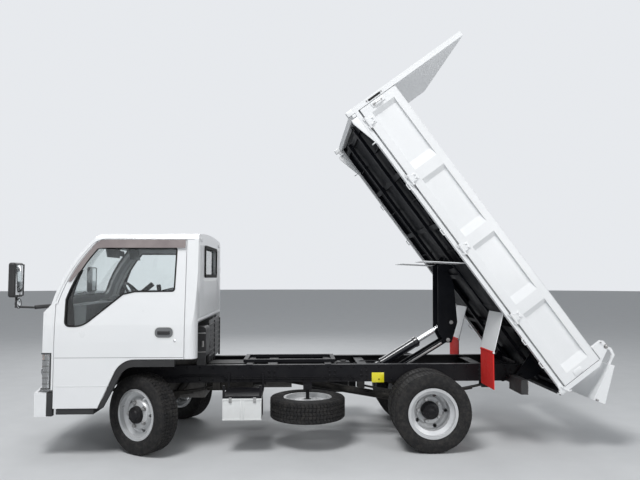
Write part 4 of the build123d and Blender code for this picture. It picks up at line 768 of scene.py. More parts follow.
def window_edge():
    """The side window's outline, from its lower rear corner forwards, and its rounded corners."""
    front = WINDOW_SILL[-1][0]
    low = next(z for z in steps(1.2, 1.6, 200) if pillar_x(z, WINDOW_BACK) < front)
    points = WINDOW_SILL + [(front, low)]
    points += [(pillar_x(z, WINDOW_BACK), z) for z in steps(low + 0.02, WINDOW_HEAD, 12)]
    points.append((2.244, WINDOW_HEAD))
    reaches = {0: 0.03, 3: 0.075, 4: 0.055, len(points) - 1: 0.03}
    outline, corners = [], []
    for k, corner in enumerate(points):
        if k not in reaches:
            outline.append(corner)
            continue
        middle, back, on = (Vector(points[n]) for n in (k, k - 1, (k + 1) % len(points)))
        start = middle + (back - middle).normalized() * reaches[k]
        end = middle + (on - middle).normalized() * min(reaches[k], (on - middle).length * 0.9)
        arc = [start.lerp(middle, t).lerp(middle.lerp(end, t), t) for t in steps(0, 1, 8)]
        outline += [(p.x, p.y) for p in arc]
        corners.append([corner] + [(p.x, p.y) for p in arc])
    return outline, corners


def door_dress(side, word):
    """Everything small on one door."""
    def done(name, bm, material, sharp=35):
        if side < 0:
            bmesh.ops.transform(bm, matrix=Matrix.Scale(-1, 4, (0, 1, 0)), verts=bm.verts)
            bmesh.ops.reverse_faces(bm, faces=bm.faces)
        piece(name + "_" + word, bm, material, "door_" + word, TRUCK, sharp)

    outline, corners = window_edge()
    bm = bmesh.new()
    surround(bm, [on_wall(x, z, -0.01) for x, z in outline], 0.013, (0, 0.0128, 0))
    done("window_seal", bm, seal_rubber)
    bm = bmesh.new()
    for corner in corners:
        slab(bm, [on_wall(x, z, -0.014) for x, z in corner], (0, 0.0141, 0))
    done("window_corners", bm, cab_white)

    rear, top, over = 2.176, 1.868, 0.004     # the rain visor's ends, and its place off the wall
    bm = bmesh.new()
    heights = steps(1.5, 1.788, 14)
    outer = [on_wall(pillar_x(z, 0.068), z, over) for z in heights]
    inner = [on_wall(pillar_x(z, 0.092 + 0.028 * min(1, k / 5)), z, over)
             for k, z in enumerate(heights)]
    corner = pillar_x(1.8, 0.068)
    outer += [on_wall(pillar_x(1.82, 0.07), 1.83, over), on_wall(corner - 0.06, 1.86, over)]
    inner += [on_wall(pillar_x(1.79, 0.135), 1.793, over), on_wall(corner - 0.09, 1.795, over)]
    for x in steps(corner - 0.12, rear, 8):
        outer.append(on_wall(x, top, over))
        inner.append(on_wall(x, 1.796, over + 0.01))
    ribbon(bm, outer, inner, (0, 0.004, 0))
    done("rain_visor", bm, visor_smoke)

    bm = bmesh.new()
    edge, back = [], []
    for k, z in enumerate(steps(1.122, 1.6, 10)):
        x = min(QUARTER_FRONT, pillar_x(z, 0.116))
        edge.append(on_wall(x, z, -0.0235))
        back.append(on_wall(x - 0.078 * (1 - 0.75 * k / 10), z, -0.0235))
    ribbon(bm, edge, back, (0, 0.004, 0))
    done("window_quarter", bm, black_plastic)

    bm = bmesh.new()
    x0, x1, z0, z1 = 2.254, 2.425, 1.01, 1.114
    radius = 0.046
    ring = rounded([(x1 - radius, z1 - radius), (x0 + radius, z1 - radius),
                    (x0 + radius, z0 + radius), (x1 - radius, z0 + radius)], radius, 6)
    surround(bm, [on_wall(x, z, -0.002) for x, z in ring], 0.008, (0, 0.005, 0))
    done("handle_bezel", bm, white_plastic)
    bm = bmesh.new()
    mid_x, mid_z = (x0 + x1) / 2, (z0 + z1) / 2
    shrunk = [(mid_x + (x - mid_x) * 0.93, mid_z + (z - mid_z) * 0.88) for x, z in ring]
    slab(bm, [on_wall(x, z, -0.001) for x, z in shrunk], (0, 0.0022, 0))
    done("handle_cup", bm, grey_plastic)
    bm = bmesh.new()
    block(bm, (x0 + 0.035, wall_y(1.062), 1.046),
          (x1 - 0.03, wall_y(1.062) + 0.01, 1.076), 0.008, 3)
    done("handle_grip", bm, black_plastic)
    bm = bmesh.new()
    lathe(bm, [(0.0, 0.004), (0.006, 0.0045), (0.01, 0.003), (0.013, 0.0)], 24,
          Matrix.Translation((2.246, wall_y(0.992), 0.992)))
    block(bm, (2.244, wall_y(0.992) + 0.003, 0.987), (2.248, wall_y(0.992) + 0.0052, 0.997), 0.0005)
    done("door_lock", bm, chrome)

    bm = bmesh.new()
    block(bm, (DOOR_REAR + 0.004, SKIN, 0.8485), (DOOR_FRONT - 0.004, 0.8456, 0.852))
    done("door_groove", bm, grey_plastic)
    bm = bmesh.new()
    slab(bm, [(2.815, SKIN, 0.606), (DOOR_FRONT - 0.006, SKIN, 0.606),
              (DOOR_FRONT - 0.006, SKIN, 0.614), (2.811, SKIN, 0.614)], (0, 0.0022, 0), 0.0018)
    done("door_crease", bm, cab_white)
    bm = bmesh.new()
    for z in (0.66, 1.02, 1.22):
        block(bm, (DOOR_FRONT - 0.03, wall_y(z) - 0.028, z - 0.045),
              (DOOR_FRONT - 0.004, wall_y(z) - 0.018, z + 0.045), 0.003)
    done("door_hinges", bm, steel)
    bm = bmesh.new()
    pad_y = wall_y(1.2) - 0.045
    panel = [(2.25, 0.9), (3.16, 0.9), (3.16, 1.07), (3.02, 1.08), (2.72, 1.32), (2.6, 1.37),
             (2.25, 1.37)]
    slab(bm, [(x, pad_y, z) for x, z in panel], (0, -0.012, 0), 0.008)
    block(bm, (2.45, pad_y - 0.05, 1.12), (2.8, pad_y - 0.01, 1.16), 0.014, 3)
    done("door_trim", bm, grey_plastic)


for side, word in SIDES:
    door_dress(side, word)


# Window rubbers, rear wall ribs and wipers

def screen_ring(grow, lean=0.06, radius=0.06, longest=0.08):
    """The windscreen's outline with round corners, in Y and Z, cut into short lengths."""
    half, low, high = 0.7 + grow, 1.35 - grow, 1.84 + grow
    points = rounded([(half - lean - radius, high - radius), (-half + lean + radius, high - radius),
                      (-half + radius, low + radius), (half - radius, low + radius)], radius, 4)
    fine = []
    for (y0, z0), (y1, z1) in zip(points, points[1:] + points[:1]):
        parts = max(1, int(math.hypot(y1 - y0, z1 - z0) / longest))
        fine += [(y0 + (y1 - y0) * k / parts, z0 + (z1 - z0) * k / parts) for k in range(parts)]
    return fine


bm = bmesh.new()
surround(bm, [on_screen(y, z, -0.012) for y, z in screen_ring(0.004)], 0.02, (0.0145, 0, 0.004))
piece("screen_seal", bm, seal_rubber, "cab", TRUCK)

bm = bmesh.new()
ring = rounded([(0.37, 1.795), (-0.37, 1.795), (-0.37, 1.575), (0.37, 1.575)], 0.042, 4)
surround(bm, [(2.062, y, z) for y, z in ring], 0.032, (-0.012, 0, 0))
piece("rear_window_seal", bm, seal_rubber, "cab", TRUCK)

bm = bmesh.new()
RIB_SPACING = 0.036
RIBS_A_SIDE = 18
for k in range(-RIBS_A_SIDE, RIBS_A_SIDE + 1):
    y = k * RIB_SPACING
    top = 1.5 if abs(y) < 0.44 else 1.83
    block(bm, (2.0595, y - 0.006, 1.185), (2.0632, y + 0.006, top), 0.0016)
piece("rear_wall_ribs", bm, cab_white, "cab", TRUCK)
bm = bmesh.new()
block(bm, (2.058, -0.775, 1.151), (2.07, 0.775, 1.172), 0.004)
for y in (-0.62, 0.62):
    block(bm, (2.054, y - 0.05, 1.86), (2.066, y + 0.05, 1.895), 0.004)
piece("rear_wall_edge", bm, cab_white, "cab", TRUCK)

bm = bmesh.new()
for y0, y1 in ((0.52, 0.06), (-0.04, -0.5)):
    rod(bm, on_screen(y0, 1.325, -0.01), on_screen(y0, 1.325, 0.03), 0.014, 16, 0.003)
    blade = [on_screen(y0 + (y1 - y0) * t, 1.375, 0.01) for t in (0.06, 0.28, 0.5, 0.72, 0.94)]
    pipe(bm, [on_screen(y0, 1.325, 0.024), on_screen((y0 + y1) / 2, 1.392, 0.026),
              on_screen((y0 + y1) / 2 - 0.02, 1.38, 0.016)], 0.0045)
    pipe(bm, blade, 0.005, 8)
piece("wipers", bm, black_plastic, "cab", TRUCK)


# Drip rails, lamps, bumper and the blank front plate

bm = bmesh.new()
for side in (1, -1):
    rail = [(x, side * (wall_y(1.878) + 0.001), 1.878) for x in (2.1, 2.4, 2.7, 2.9)]
    rail += [(pillar_x(z, 0.034), side * (wall_y(z) + 0.001), z)
             for z in (1.85, 1.78, 1.7, 1.58, 1.45, 1.34)]
    pipe(bm, rail, 0.0045, 8, 0.06)
piece("drip_rails", bm, cab_white, "cab", TRUCK)

bm = bmesh.new()
for z0, z1 in ((0.882, 0.893), (0.586, 0.596)):
    pair(bm, (3.29, BODY_HALF - 0.03, z0), (3.372, BODY_HALF + 0.0012, z1), 0.002)
pair(bm, (3.2885, BODY_HALF - 0.03, 0.59), (3.3, BODY_HALF + 0.0012, 0.893), 0.002)
for z in steps(0.63, 0.83, 4):
    pair(bm, (3.304, BODY_HALF - 0.01, z), (3.362, BODY_HALF + 0.0008, z + 0.004), 0.001)
piece("lamp_trim", bm, black_plastic, "cab", TRUCK)

bm = bmesh.new()
for side in (1, -1):
    for y, radius in ((0.685, 0.062), (0.755, 0.04)):
        place = looking(FACE_X - sweep(y) - 0.004, side * y, 0.735)
        lathe(bm, [(0.0, 0.001), (radius * 0.35, 0.002), (radius * 0.45, -0.004),
                   (radius * 0.92, 0.004), (radius, 0.01), (radius * 1.06, 0.006)], 40, place)
piece("lamp_bowls", bm, chrome, "cab", TRUCK)
bm = bmesh.new()
for y in steps(0.64, 0.742, 3):
    x = FACE_X - sweep(y)
    pair(bm, (x - 0.02, y - 0.013, 0.825), (x + 0.002, y + 0.013, 0.872), 0.005)
piece("turn_lamps", bm, lamp_orange, "cab", TRUCK)

bm = bmesh.new()
pair(bm, (3.2725, 0.79, 0.357), (3.326, 0.8365, 0.56), 0.006)
pair(bm, (3.452, 0.47, 0.395), (3.5105, 0.64, 0.47), 0.01)
block(bm, (3.505, -0.33, 0.372), (3.5335, 0.33, 0.402), 0.006)
piece("bumper_trim", bm, black_plastic, "chassis", TRUCK)
bm = bmesh.new()
for side in (1, -1):
    for y in (0.515, 0.592):
        lathe(bm, [(0.0, 0.006), (0.02, 0.005), (0.029, 0.002), (0.031, -0.004)], 32,
              looking(3.5085, side * y, 0.4325))
piece("fog_lamps", bm, lamp_clear, "chassis", TRUCK)
bm = bmesh.new()
block(bm, (3.5315, -0.165, 0.41), (3.5345, 0.165, 0.552), 0.0012)
piece("front_plate", bm, white_plastic, "chassis", TRUCK)

bm = bmesh.new()
for z in (0.615, 0.672):
    block(bm, (3.455, -0.52, z), (3.4735, 0.52, z + 0.01), 0.003)
piece("face_strips", bm, black_plastic, "cab", TRUCK)


# Mirrors

bm = bmesh.new()
for side in (1, -1):
    lathe(bm, [(0.0, 0.002), (0.03, 0.001), (0.04, -0.003)], 32,
          looking(3.5285, side * 0.935, 1.318, -1))
pair(bm, (3.5245, 0.872, 1.388), (3.5275, 1.024, 1.642), 0.0012)
piece("mirror_glasses", bm, chrome, "cab", TRUCK)
bm = bmesh.new()
for side in (1, -1):
    rod(bm, (3.33, side * 0.775, 1.29), (3.425, side * 0.872, 1.283), 0.017, 20, 0.004)
    lathe(bm, [(0.0, 0.03), (0.024, 0.026), (0.041, 0.01), (0.044, 0.0), (0.042, -0.003)], 32,
          looking(3.5305, side * 0.935, 1.318))
    rod(bm, (3.552, side * 0.926, 1.3), (3.556, side * 0.93, 1.42), 0.007, 12)
    surround(bm, [(3.5225, side * 0.866, 1.382), (3.5225, side * 1.03, 1.382),
                  (3.5225, side * 1.03, 1.648), (3.5225, side * 0.866, 1.648)], 0.008,
             (0.006, 0, 0))
piece("mirror_fittings", bm, black_plastic, "cab", TRUCK)


# Load bed: white above, black below; hooks, gates' fittings, bolts and latches

def node_mesh(name):
    """A merged copy of a solid's mesh, in the frame."""
    bm = bmesh.new()
    bm.from_mesh(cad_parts[name].data)
    bmesh.ops.transform(bm, matrix=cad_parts[name].matrix_world, verts=bm.verts)
    bmesh.ops.remove_doubles(bm, verts=bm.verts, dist=1e-5)
    return bm


def two_coloured(name, bm, dark, node):
    """A white piece of the bed in a solid's stead, some of its faces black."""
    made = piece(name, bm, bed_white, "bed")
    made.data.materials.append(bed_black)
    for number in dark:
        made.data.polygons[number].material_index = 1
    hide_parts(node)


bm = node_mesh("bed_floor")
lowered = BED.inverted()
turned_down = lowered.to_3x3()
below = set()
for face in bm.faces:
    middle, normal = lowered @ face.calc_center_median(), turned_down @ face.normal
    inboard = abs(middle.y) < 0.79 and middle.z < FLOOR_TOP - 0.004
    if inboard or (normal.z < -0.5 and abs(middle.y) < 0.796):
        below.add(face.index)
two_coloured("bed_deck", bm, below, "bed_floor")

# The rear fenders are white paint; their flat top sheets over the wheels take the black finish as
# painted shade, for the shadow under the raised bed.
bm = node_mesh("rear_fenders")
painted_shade_faces = set()
for face in bm.faces:
    along = [(lowered @ v.co).x for v in face.verts]
    if min(along) > -0.275 and max(along) < 0.326:
        painted_shade_faces.add(face.index)
two_coloured("fender_sheets", bm, painted_shade_faces, "rear_fenders")

bm = bmesh.new()
for side in (1, -1):
    gusset = [(1.925, 0.727), (1.925, 0.662), (1.89, 0.657), (1.665, 0.714), (1.62, 0.727)]
    slab(bm, [(x, side * 0.832, z) for x, z in gusset], (0, side * 0.012, 0), 0.002)
    ear = [(-1.112, 0.706), (-1.02, 0.724), (-1.02, 0.758), (-1.112, 0.758)]
    slab(bm, [(x, side * 0.8446, z) for x, z in ear], (0, side * 0.004, 0), 0.0015)
pair(bm, (BED_FRONT, 0.797, 0.657), (HEADBOARD_FRONT, 0.8448, 0.724), 0.003)
pair(bm, (BED_FRONT - 0.03, 0.8, 0.69), (BED_FRONT + 0.002, 0.84, 0.728), 0.003)
piece("bed_gussets", bm, bed_white, "bed", BED)

bm = bmesh.new()
for side in (1, -1):
    for x in (1.64, -1.085):
        pipe(bm, [(x, side * 0.84, 0.718), (x, side * 0.862, 0.712), (x, side * 0.866, 0.694),
                  (x, side * 0.846, 0.684), (x, side * 0.834, 0.692)], 0.0055, 10, 0.012)
    for x in (1.15, 0.65, -0.55, -0.8):
        loop = ((x - 0.028, 0.728), (x - 0.028, 0.712), (x + 0.028, 0.712), (x + 0.028, 0.728))
        pipe(bm, [(x, side * 0.842, z) for x, z in loop], 0.0045, 10, 0.012)
piece("rope_hooks", bm, bed_white, "bed", BED)


def gate_dress(side, word):
    """Hinge straps, bolts and the latch on one side gate."""
    def done(name, bm, material):
        outward(bm)
        piece(name + "_" + word, bm, material, "side_gate_" + word, BED)

    bm = bmesh.new()
    for x in GATE_HINGES:
        block(bm, (x - 0.034, side * SKIN, 0.781), (x + 0.034, side * 0.8505, 0.842), 0.0025)
        for dx in (-0.017, 0.017):
            nut(bm, facing((x + dx, side * 0.8505, 0.824), (0, side, 0)), 0.013, 0.007)
    block(bm, (1.905, side * SKIN, 0.886), (1.95, side * 0.852, 1.022), 0.002)
    block(bm, (-1.06, side * SKIN, 0.905), (-1.012, side * 0.851, 0.99), 0.002)
    done("gate_straps", bm, bed_white)
    bm = bmesh.new()
    pipe(bm, [(1.925, side * 0.853, 0.915), (1.925, side * 0.872, 0.922),
              (1.925, side * 0.872, 0.985), (1.925, side * 0.853, 0.995)], 0.0055, 10, 0.012)
    block(bm, (1.912, side * 0.8515, 0.9), (1.938, side * 0.856, 0.918), 0.002)
    done("gate_latch", bm, steel)
    bm = bmesh.new()
    block(bm, (-1.066, side * 0.802, 1.1625), (1.952, side * 0.8455, 1.169), 0.003)
    done("gate_cap", bm, bed_white)


for side, word in SIDES:
    gate_dress(side, word)

# Thin dark plates on the headboard's edges are painted shade: they stand for the shaded insides of
# the latch slots.
bm = bmesh.new()
pair(bm, (1.972, 0.8435, 0.89), (1.992, 0.8475, 1.022), 0.001)
pair(bm, (1.9595, 0.812, 1.15), (1.966, 0.844, 1.172), 0.001)
piece("headboard_slot_shade", bm, seal_rubber, "bed", BED)
bm = bmesh.new()
for side in (1, -1):
    for z in (0.875, 1.035):
        nut(bm, facing((1.986, side * 0.8448, z), (0, side, 0)), 0.011, 0.005)
    nut(bm, facing((TAIL_PIVOT[0], side * 0.8448, TAIL_PIVOT[1]), (0, side, 0)), 0.026, 0.014)
    rod(bm, (-0.958, side * 0.815, 1.262), (-0.958, side * 0.862, 1.262), 0.006, 14, 0.002)
    for middle in GATE_HINGES:
        for dx in (-0.058, 0.058):
            x = middle + dx
            rod(bm, (x - 0.004, side * 0.859, 0.767), (x + 0.004, side * 0.859, 0.767),
                0.0095, 16, 0.002)
outward(bm)
piece("bed_bolts", bm, steel, "bed", BED)

bm = bmesh.new()
for side in (1, -1):
    claw = [(-1.05, 0.742), (-1.092, 0.752), (-1.128, 0.772), (-1.134, 0.806), (-1.126, 0.806),
            (-1.118, 0.782), (-1.088, 0.766), (-1.05, 0.758)]
    slab(bm, [(x, side * 0.846, z) for x, z in claw], (0, side * 0.01, 0), 0.002)
    rod(bm, (-1.058, side * 0.844, 0.75), (-1.058, side * 0.862, 0.75), 0.01, 16, 0.002)
outward(bm)
piece("tail_latches", bm, bed_white, "bed", BED)

bm = bmesh.new()
for side in (1, -1):
    rod(bm, (-1.15, side * 0.826, 0.826), (-1.15, side * 0.858, 0.826), 0.01, 16, 0.002)
    nut(bm, facing((TAIL_PIVOT[0], side * 0.7755, TAIL_PIVOT[1]), (0, -side, 0)), 0.024, 0.01)
outward(bm)
piece("tailgate_pins", bm, steel, "tailgate", TAILGATE)

bm = bmesh.new()
for x in (1.6, 1.02, 0.44, -0.15, -0.7):
    pair(bm, (x, 0.376, 0.748), (x + 0.006, 0.76, 0.781), 0.001)
for x in (1.2, 0.6, 0.02, -0.56):
    pair(bm, (x - 0.3, 0.56, 0.762), (x + 0.22, 0.572, 0.7815), 0.001)
piece("floor_stiffeners", bm, bed_black, "bed", BED)

bm = bmesh.new()
pipe(bm, [(1.896, 0.33, 0.752), (1.938, 0.33, 0.75), (1.95, 0.33, 0.74), (1.94, 0.33, 0.73),
          (1.915, 0.33, 0.73)], 0.0055, 12, 0.01)
pair(bm, (1.86, 0.3, 0.7255), (1.902, 0.36, 0.76), 0.002)
piece("bed_front_hook", bm, bed_black, "bed", BED)


# Hoist: turned barrel, pins and link ribs

ARM_HALF = 0.131
foot, rod_pin = Vector((0.384, 0, 0.652)), Vector((-0.336, 0, 1.091))
link_foot, link_pin = Vector((0.255, 0, 0.585)), Vector((-0.303, 0, 0.919))
reach = (rod_pin - foot).normalized()
bm = bmesh.new()
BARREL = [(0.0, 0.032), (0.03, 0.032), (0.044, 0.04), (0.051, 0.045), (0.051, 0.06), (0.047, 0.063),
          (0.047, 0.432), (0.0525, 0.436), (0.0525, 0.466), (0.049, 0.47), (0.036, 0.471),
          (0.036, 0.484), (0.0275, 0.486), (0.0275, 0.47), (0.0, 0.47)]
along_barrel = Matrix.Translation(foot) @ reach.to_track_quat("Y", "Z").to_matrix().to_4x4()
lathe(bm, BARREL, 64, along_barrel)
across_bar(bm, foot, 0.038, 0.04, 40, 0.004)
outward(bm)
made = piece("barrel_turned", bm, barrel_black, "hoist_barrel", TRUCK)
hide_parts("hoist_barrel")
bm = bmesh.new()
for pin in (rod_pin, link_pin):
    for side in (1, -1):
        nut(bm, facing(pin + Vector((0, side * (ARM_HALF - 0.003), 0)), (0, side, 0)), 0.024, 0.01)
outward(bm)
piece("lift_arm_bolts", bm, steel, "lift_arm", TRUCK)
along = (link_pin - link_foot).normalized() * 0.26
across = Vector((-along.z, 0, along.x)).normalized() * 0.01
bm = bmesh.new()
for side in (1, -1):
    middle = Vector((-0.024, side * 0.083, 0.752))
    corners = [middle - along - across, middle + along - across, middle + along + across,
               middle - along + across]
    slab(bm, corners, (0, side * 0.004, 0), 0.0015)
outward(bm)
piece("link_ribs", bm, steel, "hoist_links", TRUCK)


# Frame: rivets, pipes, plates, springs, dampers, battery, tank, tail lamps and pump

RIVET_START = -0.9
RIVET_PITCH = 0.12
RIVETS_A_RAIL = 34
bm = bmesh.new()
for side in (1, -1):
    for k in range(RIVETS_A_RAIL):
        x = RIVET_START + RIVET_PITCH * k
        for z in (RAIL_LOW + 0.022, RAIL_TOP - 0.022):
            rod(bm, (x, side * RAIL_OUTER, z), (x, side * (RAIL_OUTER + 0.006), z), 0.01, 8,
                far_radius=0.005)
for x in (3.11, 1.43, 0.86, 0.56, -0.56, -0.82):
    for side in (1, -1):
        for dx in (-0.025, 0.025):
            for z in (0.615, 0.655):
                nut(bm, facing((x + dx, side * RAIL_OUTER, z), (0, side, 0)), 0.016, 0.009)
outward(bm)
piece("rail_rivets", bm, frame_black, "chassis", TRUCK)

BRAKE_PIPE_Y = 0.377
bm = bmesh.new()
for side in (1, -1):
    for z, far in ((0.604, 0.66), (0.59, 0.6)):
        run = ((2.95, z), (2.3, z), (2.26, z + 0.02), (1.9, z + 0.02), (1.86, z), (far, z))
        pipe(bm, [(x, side * BRAKE_PIPE_Y, height) for x, height in run], 0.0036, 8)
for x in (2.85, 2.45, 2.1, 1.7, 1.3, 0.95, 0.7):
    pair(bm, (x - 0.007, 0.37, 0.583), (x + 0.007, 0.3825, 0.611), 0.001)
piece("brake_pipes", bm, frame_black, "chassis", TRUCK)

bm = bmesh.new()
block(bm, (0.372, 0.3705, 0.548), (0.488, 0.3735, 0.64), 0.001)
piece("side_plate", bm, yellow_paint, "chassis", TRUCK)

bm = bmesh.new()
for side in (1, -1):
    for middle, low, high in ((0.0, 0.256, 0.47), (WHEELBASE, 0.3, 0.49)):
        for x in (middle - 0.045, middle + 0.045):
            pipe(bm, [(x, side * 0.2925, low), (x, side * 0.2925, high),
                      (x, side * 0.3675, high), (x, side * 0.3675, low)], 0.007, 10, 0.02)
            for y in (0.2925, 0.3675):
                nut(bm, facing((x, side * y, low + 0.004), (0, 0, -1)), 0.019, 0.012)
        block(bm, (middle - 0.062, side * 0.278, high - 0.026),
              (middle + 0.062, side * 0.382, high - 0.012), 0.003)
outward(bm)
piece("spring_bolts", bm, steel, "chassis", TRUCK)

bm = bmesh.new()
for side in (1, -1):
    for start, end in ([(0.085, side * 0.3, 0.33), (0.33, side * 0.335, 0.62)],
                       [(2.4, side * 0.3, 0.33), (2.2, side * 0.325, 0.6)]):
        start, end = Vector(start), Vector(end)
        run = end - start
        rod(bm, start, start + run * 0.55, 0.026, 24, 0.004)
        rod(bm, start + run * 0.5, end, 0.031, 24, 0.004)
        for spot in (start, end):
            across_bar(bm, spot, 0.022, 0.02, 20, 0.003)
outward(bm)
piece("dampers", bm, axle_black, "chassis", TRUCK)

bm = bmesh.new()
for x in (1.5, 1.832):
    block(bm, (x, 0.562, 0.306), (x + 0.006, 0.8025, 0.486), 0.002)
for x in (1.655, 1.68):
    block(bm, (x - 0.006, 0.798, 0.306), (x + 0.006, 0.8035, 0.474), 0.003)
block(bm, (1.4985, 0.558, 0.47), (1.8395, 0.8035, 0.4895), 0.004)
block(bm, (1.4985, 0.56, 0.302), (1.8395, 0.803, 0.316), 0.003)
piece("battery_cover", bm, white_plastic, "chassis", TRUCK)
bm = bmesh.new()
for x in (1.56, 1.77):
    block(bm, (x - 0.012, 0.8, 0.452), (x + 0.012, 0.8075, 0.5), 0.002)
    rod(bm, (x, 0.806, 0.47), (x, 0.816, 0.47), 0.007, 12, 0.002)
piece("battery_clips", bm, steel, "chassis", TRUCK)

bm = bmesh.new()
for x in (0.64, 1.04):
    pipe(bm, [(x, -0.455, 0.555), (x, -0.455, 0.298), (x, -0.793, 0.298), (x, -0.793, 0.563),
              (x, -0.6, 0.563)], 0.007, 8, 0.04)
rod(bm, (0.7, -0.79, 0.515), (0.7, -0.812, 0.535), 0.034, 28, 0.005)
rod(bm, (0.7, -0.8, 0.525), (0.7, -0.828, 0.549), 0.04, 28, 0.006)
outward(bm)
piece("tank_straps", bm, steel, "chassis", TRUCK)

for name, material, y0, y1 in (("lamp_stop", lamp_red, 0.48, 0.575),
                               ("lamp_turn", lamp_orange, 0.582, 0.672),
                               ("lamp_back", lamp_clear, 0.679, 0.77)):
    bm = bmesh.new()
    pair(bm, (-0.86, y0, 0.516), (-0.8485, y1, 0.614), 0.005, 3)
    piece(name, bm, material, "chassis", TRUCK)
bm = bmesh.new()
for side in (1, -1):
    for y in (0.492, 0.565, 0.592, 0.662, 0.69, 0.76):
        nut(bm, facing((-0.86, side * y, 0.565), (-1, 0, 0)), 0.006, 0.002, washer=False)
pair(bm, (-0.853, 0.466, 0.501), (-0.788, 0.784, 0.511), 0.003)
pair(bm, (-0.853, 0.466, 0.619), (-0.788, 0.784, 0.629), 0.003)
outward(bm)
piece("lamp_screws", bm, black_plastic, "chassis", TRUCK)
bm = bmesh.new()
block(bm, (-0.963, -0.165, 0.56), (-0.958, 0.165, 0.712), 0.001)
piece("rear_plate", bm, white_plastic, "chassis", TRUCK)
bm = bmesh.new()
block(bm, (-0.9585, -0.185, 0.552), (-0.948, 0.185, 0.716), 0.003)
pair(bm, (-0.955, 0.175, 0.64), (-0.945, 0.362, 0.66), 0.002)
piece("rear_plate_holder", bm, frame_black, "chassis", TRUCK)

bm = bmesh.new()
block(bm, (0.665, -0.06, 0.64), (0.795, 0.08, 0.698), 0.01, 3)
rod(bm, (0.73, 0.01, 0.695), (0.73, 0.01, 0.71), 0.03, 28, 0.004)
block(bm, (0.785, -0.04, 0.684), (0.842, 0.06, 0.692), 0.002)
pipe(bm, [(0.67, 0.0, 0.668), (0.62, 0.0, 0.668), (0.6, 0.0, 0.69), (0.54, 0.0, 0.7),
          (0.49, 0.0, 0.69)], 0.008, 12)
outward(bm)
piece("hoist_pump", bm, frame_black, "chassis", TRUCK)

bm = bmesh.new()
for x, z0, z1, y in ((2.085, 0.62, 0.98, 0.18), (2.08, 0.66, 1.0, 0.05), (2.085, 0.6, 0.94, -0.1)):
    pipe(bm, [(x, y, z0), (x - 0.02, y, z0 + 0.06), (x - 0.02, y + 0.02, z1 - 0.06),
              (x + 0.03, y + 0.02, z1)], 0.014, 12, 0.03)
pipe(bm, [(2.11, 0.2, 0.92), (2.045, 0.22, 0.93), (2.045, 0.28, 0.9), (2.045, 0.3, 0.88)],
     0.03, 20, 0.03)
# The flat black sheet under the cab's rear, with its slats and bars, is painted shade: it darkens
# the shaded engine bay in place of the parts there.
shade_sheet = [(-0.64, 0.724), (0.25, 0.724), (0.25, 1.06), (0.13, 1.12), (-0.56, 1.12), (-0.64, 1.06)]
slab(bm, [(2.046, y, z) for y, z in shade_sheet], (0.006, 0, 0), 0.002)
for k in range(7):
    z = 0.76 + 0.05 * k
    block(bm, (2.04, -0.62, z), (2.047, 0.23, z + 0.018), 0.003)
for y in (-0.6, -0.2, 0.21):
    block(bm, (2.036, y - 0.014, 0.7), (2.053, y + 0.014, 1.1), 0.003)
outward(bm)
piece("engine_pipes", bm, black_plastic, "chassis", TRUCK)
bm = bmesh.new()
for z in (0.86, 1.03):
    pipe(bm, [(2.024, 0.543, z), (2.206, 0.543, z)], 0.006, 8)
for x in (2.05, 2.18):
    block(bm, (x - 0.01, 0.536, 0.905), (x + 0.01, 0.548, 0.96), 0.002)
piece("air_cleaner_clips", bm, steel, "chassis", TRUCK)


# Cab inside: steering wheel, dash and padded seats

SEAT_Y = 0.395
wheel_middle = Vector((2.89, -SEAT_Y, 1.33))
wheel_place = shifted(Matrix.Translation(wheel_middle) @ Matrix.Rotation(math.radians(-50), 4, "Y")
                      @ Matrix.Rotation(math.pi / 2, 4, "X"))
bm = bmesh.new()
ring = [(0.19 + 0.014 * math.cos(math.tau * k / 16), 0.014 * math.sin(math.tau * k / 16))
        for k in range(17)]
lathe(bm, ring, 72, wheel_place)
lathe(bm, [(0.0, -0.016), (0.045, -0.018), (0.062, -0.01), (0.066, 0.004), (0.058, 0.012),
           (0.0, 0.014)], 40, wheel_place)
for angle in (20, 160, 270):
    a = math.radians(angle)
    start, end = (Vector((math.cos(a) * r, 0, math.sin(a) * r)) for r in (0.05, 0.186))
    rod(bm, wheel_place @ start, wheel_place @ end, 0.014, 12, 0.003, far_radius=0.009)
rod(bm, wheel_place @ Vector((0, 0.01, 0)), wheel_place @ Vector((0, 0.215, 0)), 0.026, 28, 0.004)
outward(bm)
made = piece("steering_wheel_rim", bm, black_plastic, "cab")
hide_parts("steering_wheel")

bm = bmesh.new()
hood = [(3.01, 1.285), (3.225, 1.285), (3.225, 1.31), (3.07, 1.345), (3.01, 1.33)]
slab(bm, [(x, -0.6, z) for x, z in hood], (0, 0.41, 0), 0.012, 3)
for y in (-0.1, 0.1, 0.62):
    block(bm, (3.012, y - 0.055, 1.2), (3.022, y + 0.055, 1.262), 0.006)
block(bm, (3.006, 0.2, 1.085), (3.022, 0.56, 1.18), 0.01, 3)
block(bm, (3.006, -0.06, 1.085), (3.022, 0.12, 1.165), 0.006)
block(bm, (3.02, -0.79, 1.2895), (3.24, 0.79, 1.2965), 0.004)
piece("dash_hood", bm, grey_plastic, "cab", TRUCK)
bm = bmesh.new()
for side in (1, -1):
    slab(bm, [(2.925, side * 0.2, 1.842), (2.925, side * 0.58, 1.842), (2.905, side * 0.58, 1.72),
              (2.905, side * 0.2, 1.72)], (0.012, 0, 0), 0.005)
block(bm, (2.95, -0.11, 1.745), (2.966, 0.11, 1.8), 0.01, 3)
rod(bm, (2.962, 0, 1.79), (2.985, 0, 1.845), 0.006, 12)
piece("sun_visors", bm, grey_plastic, "cab", TRUCK)
bm = bmesh.new()
pipe(bm, [(2.52, -0.02, 1.15), (2.56, -0.02, 1.3), (2.575, -0.02, 1.42)], 0.008, 12)
rod(bm, (2.573, -0.02, 1.405), (2.583, -0.02, 1.465), 0.022, 20, 0.01)
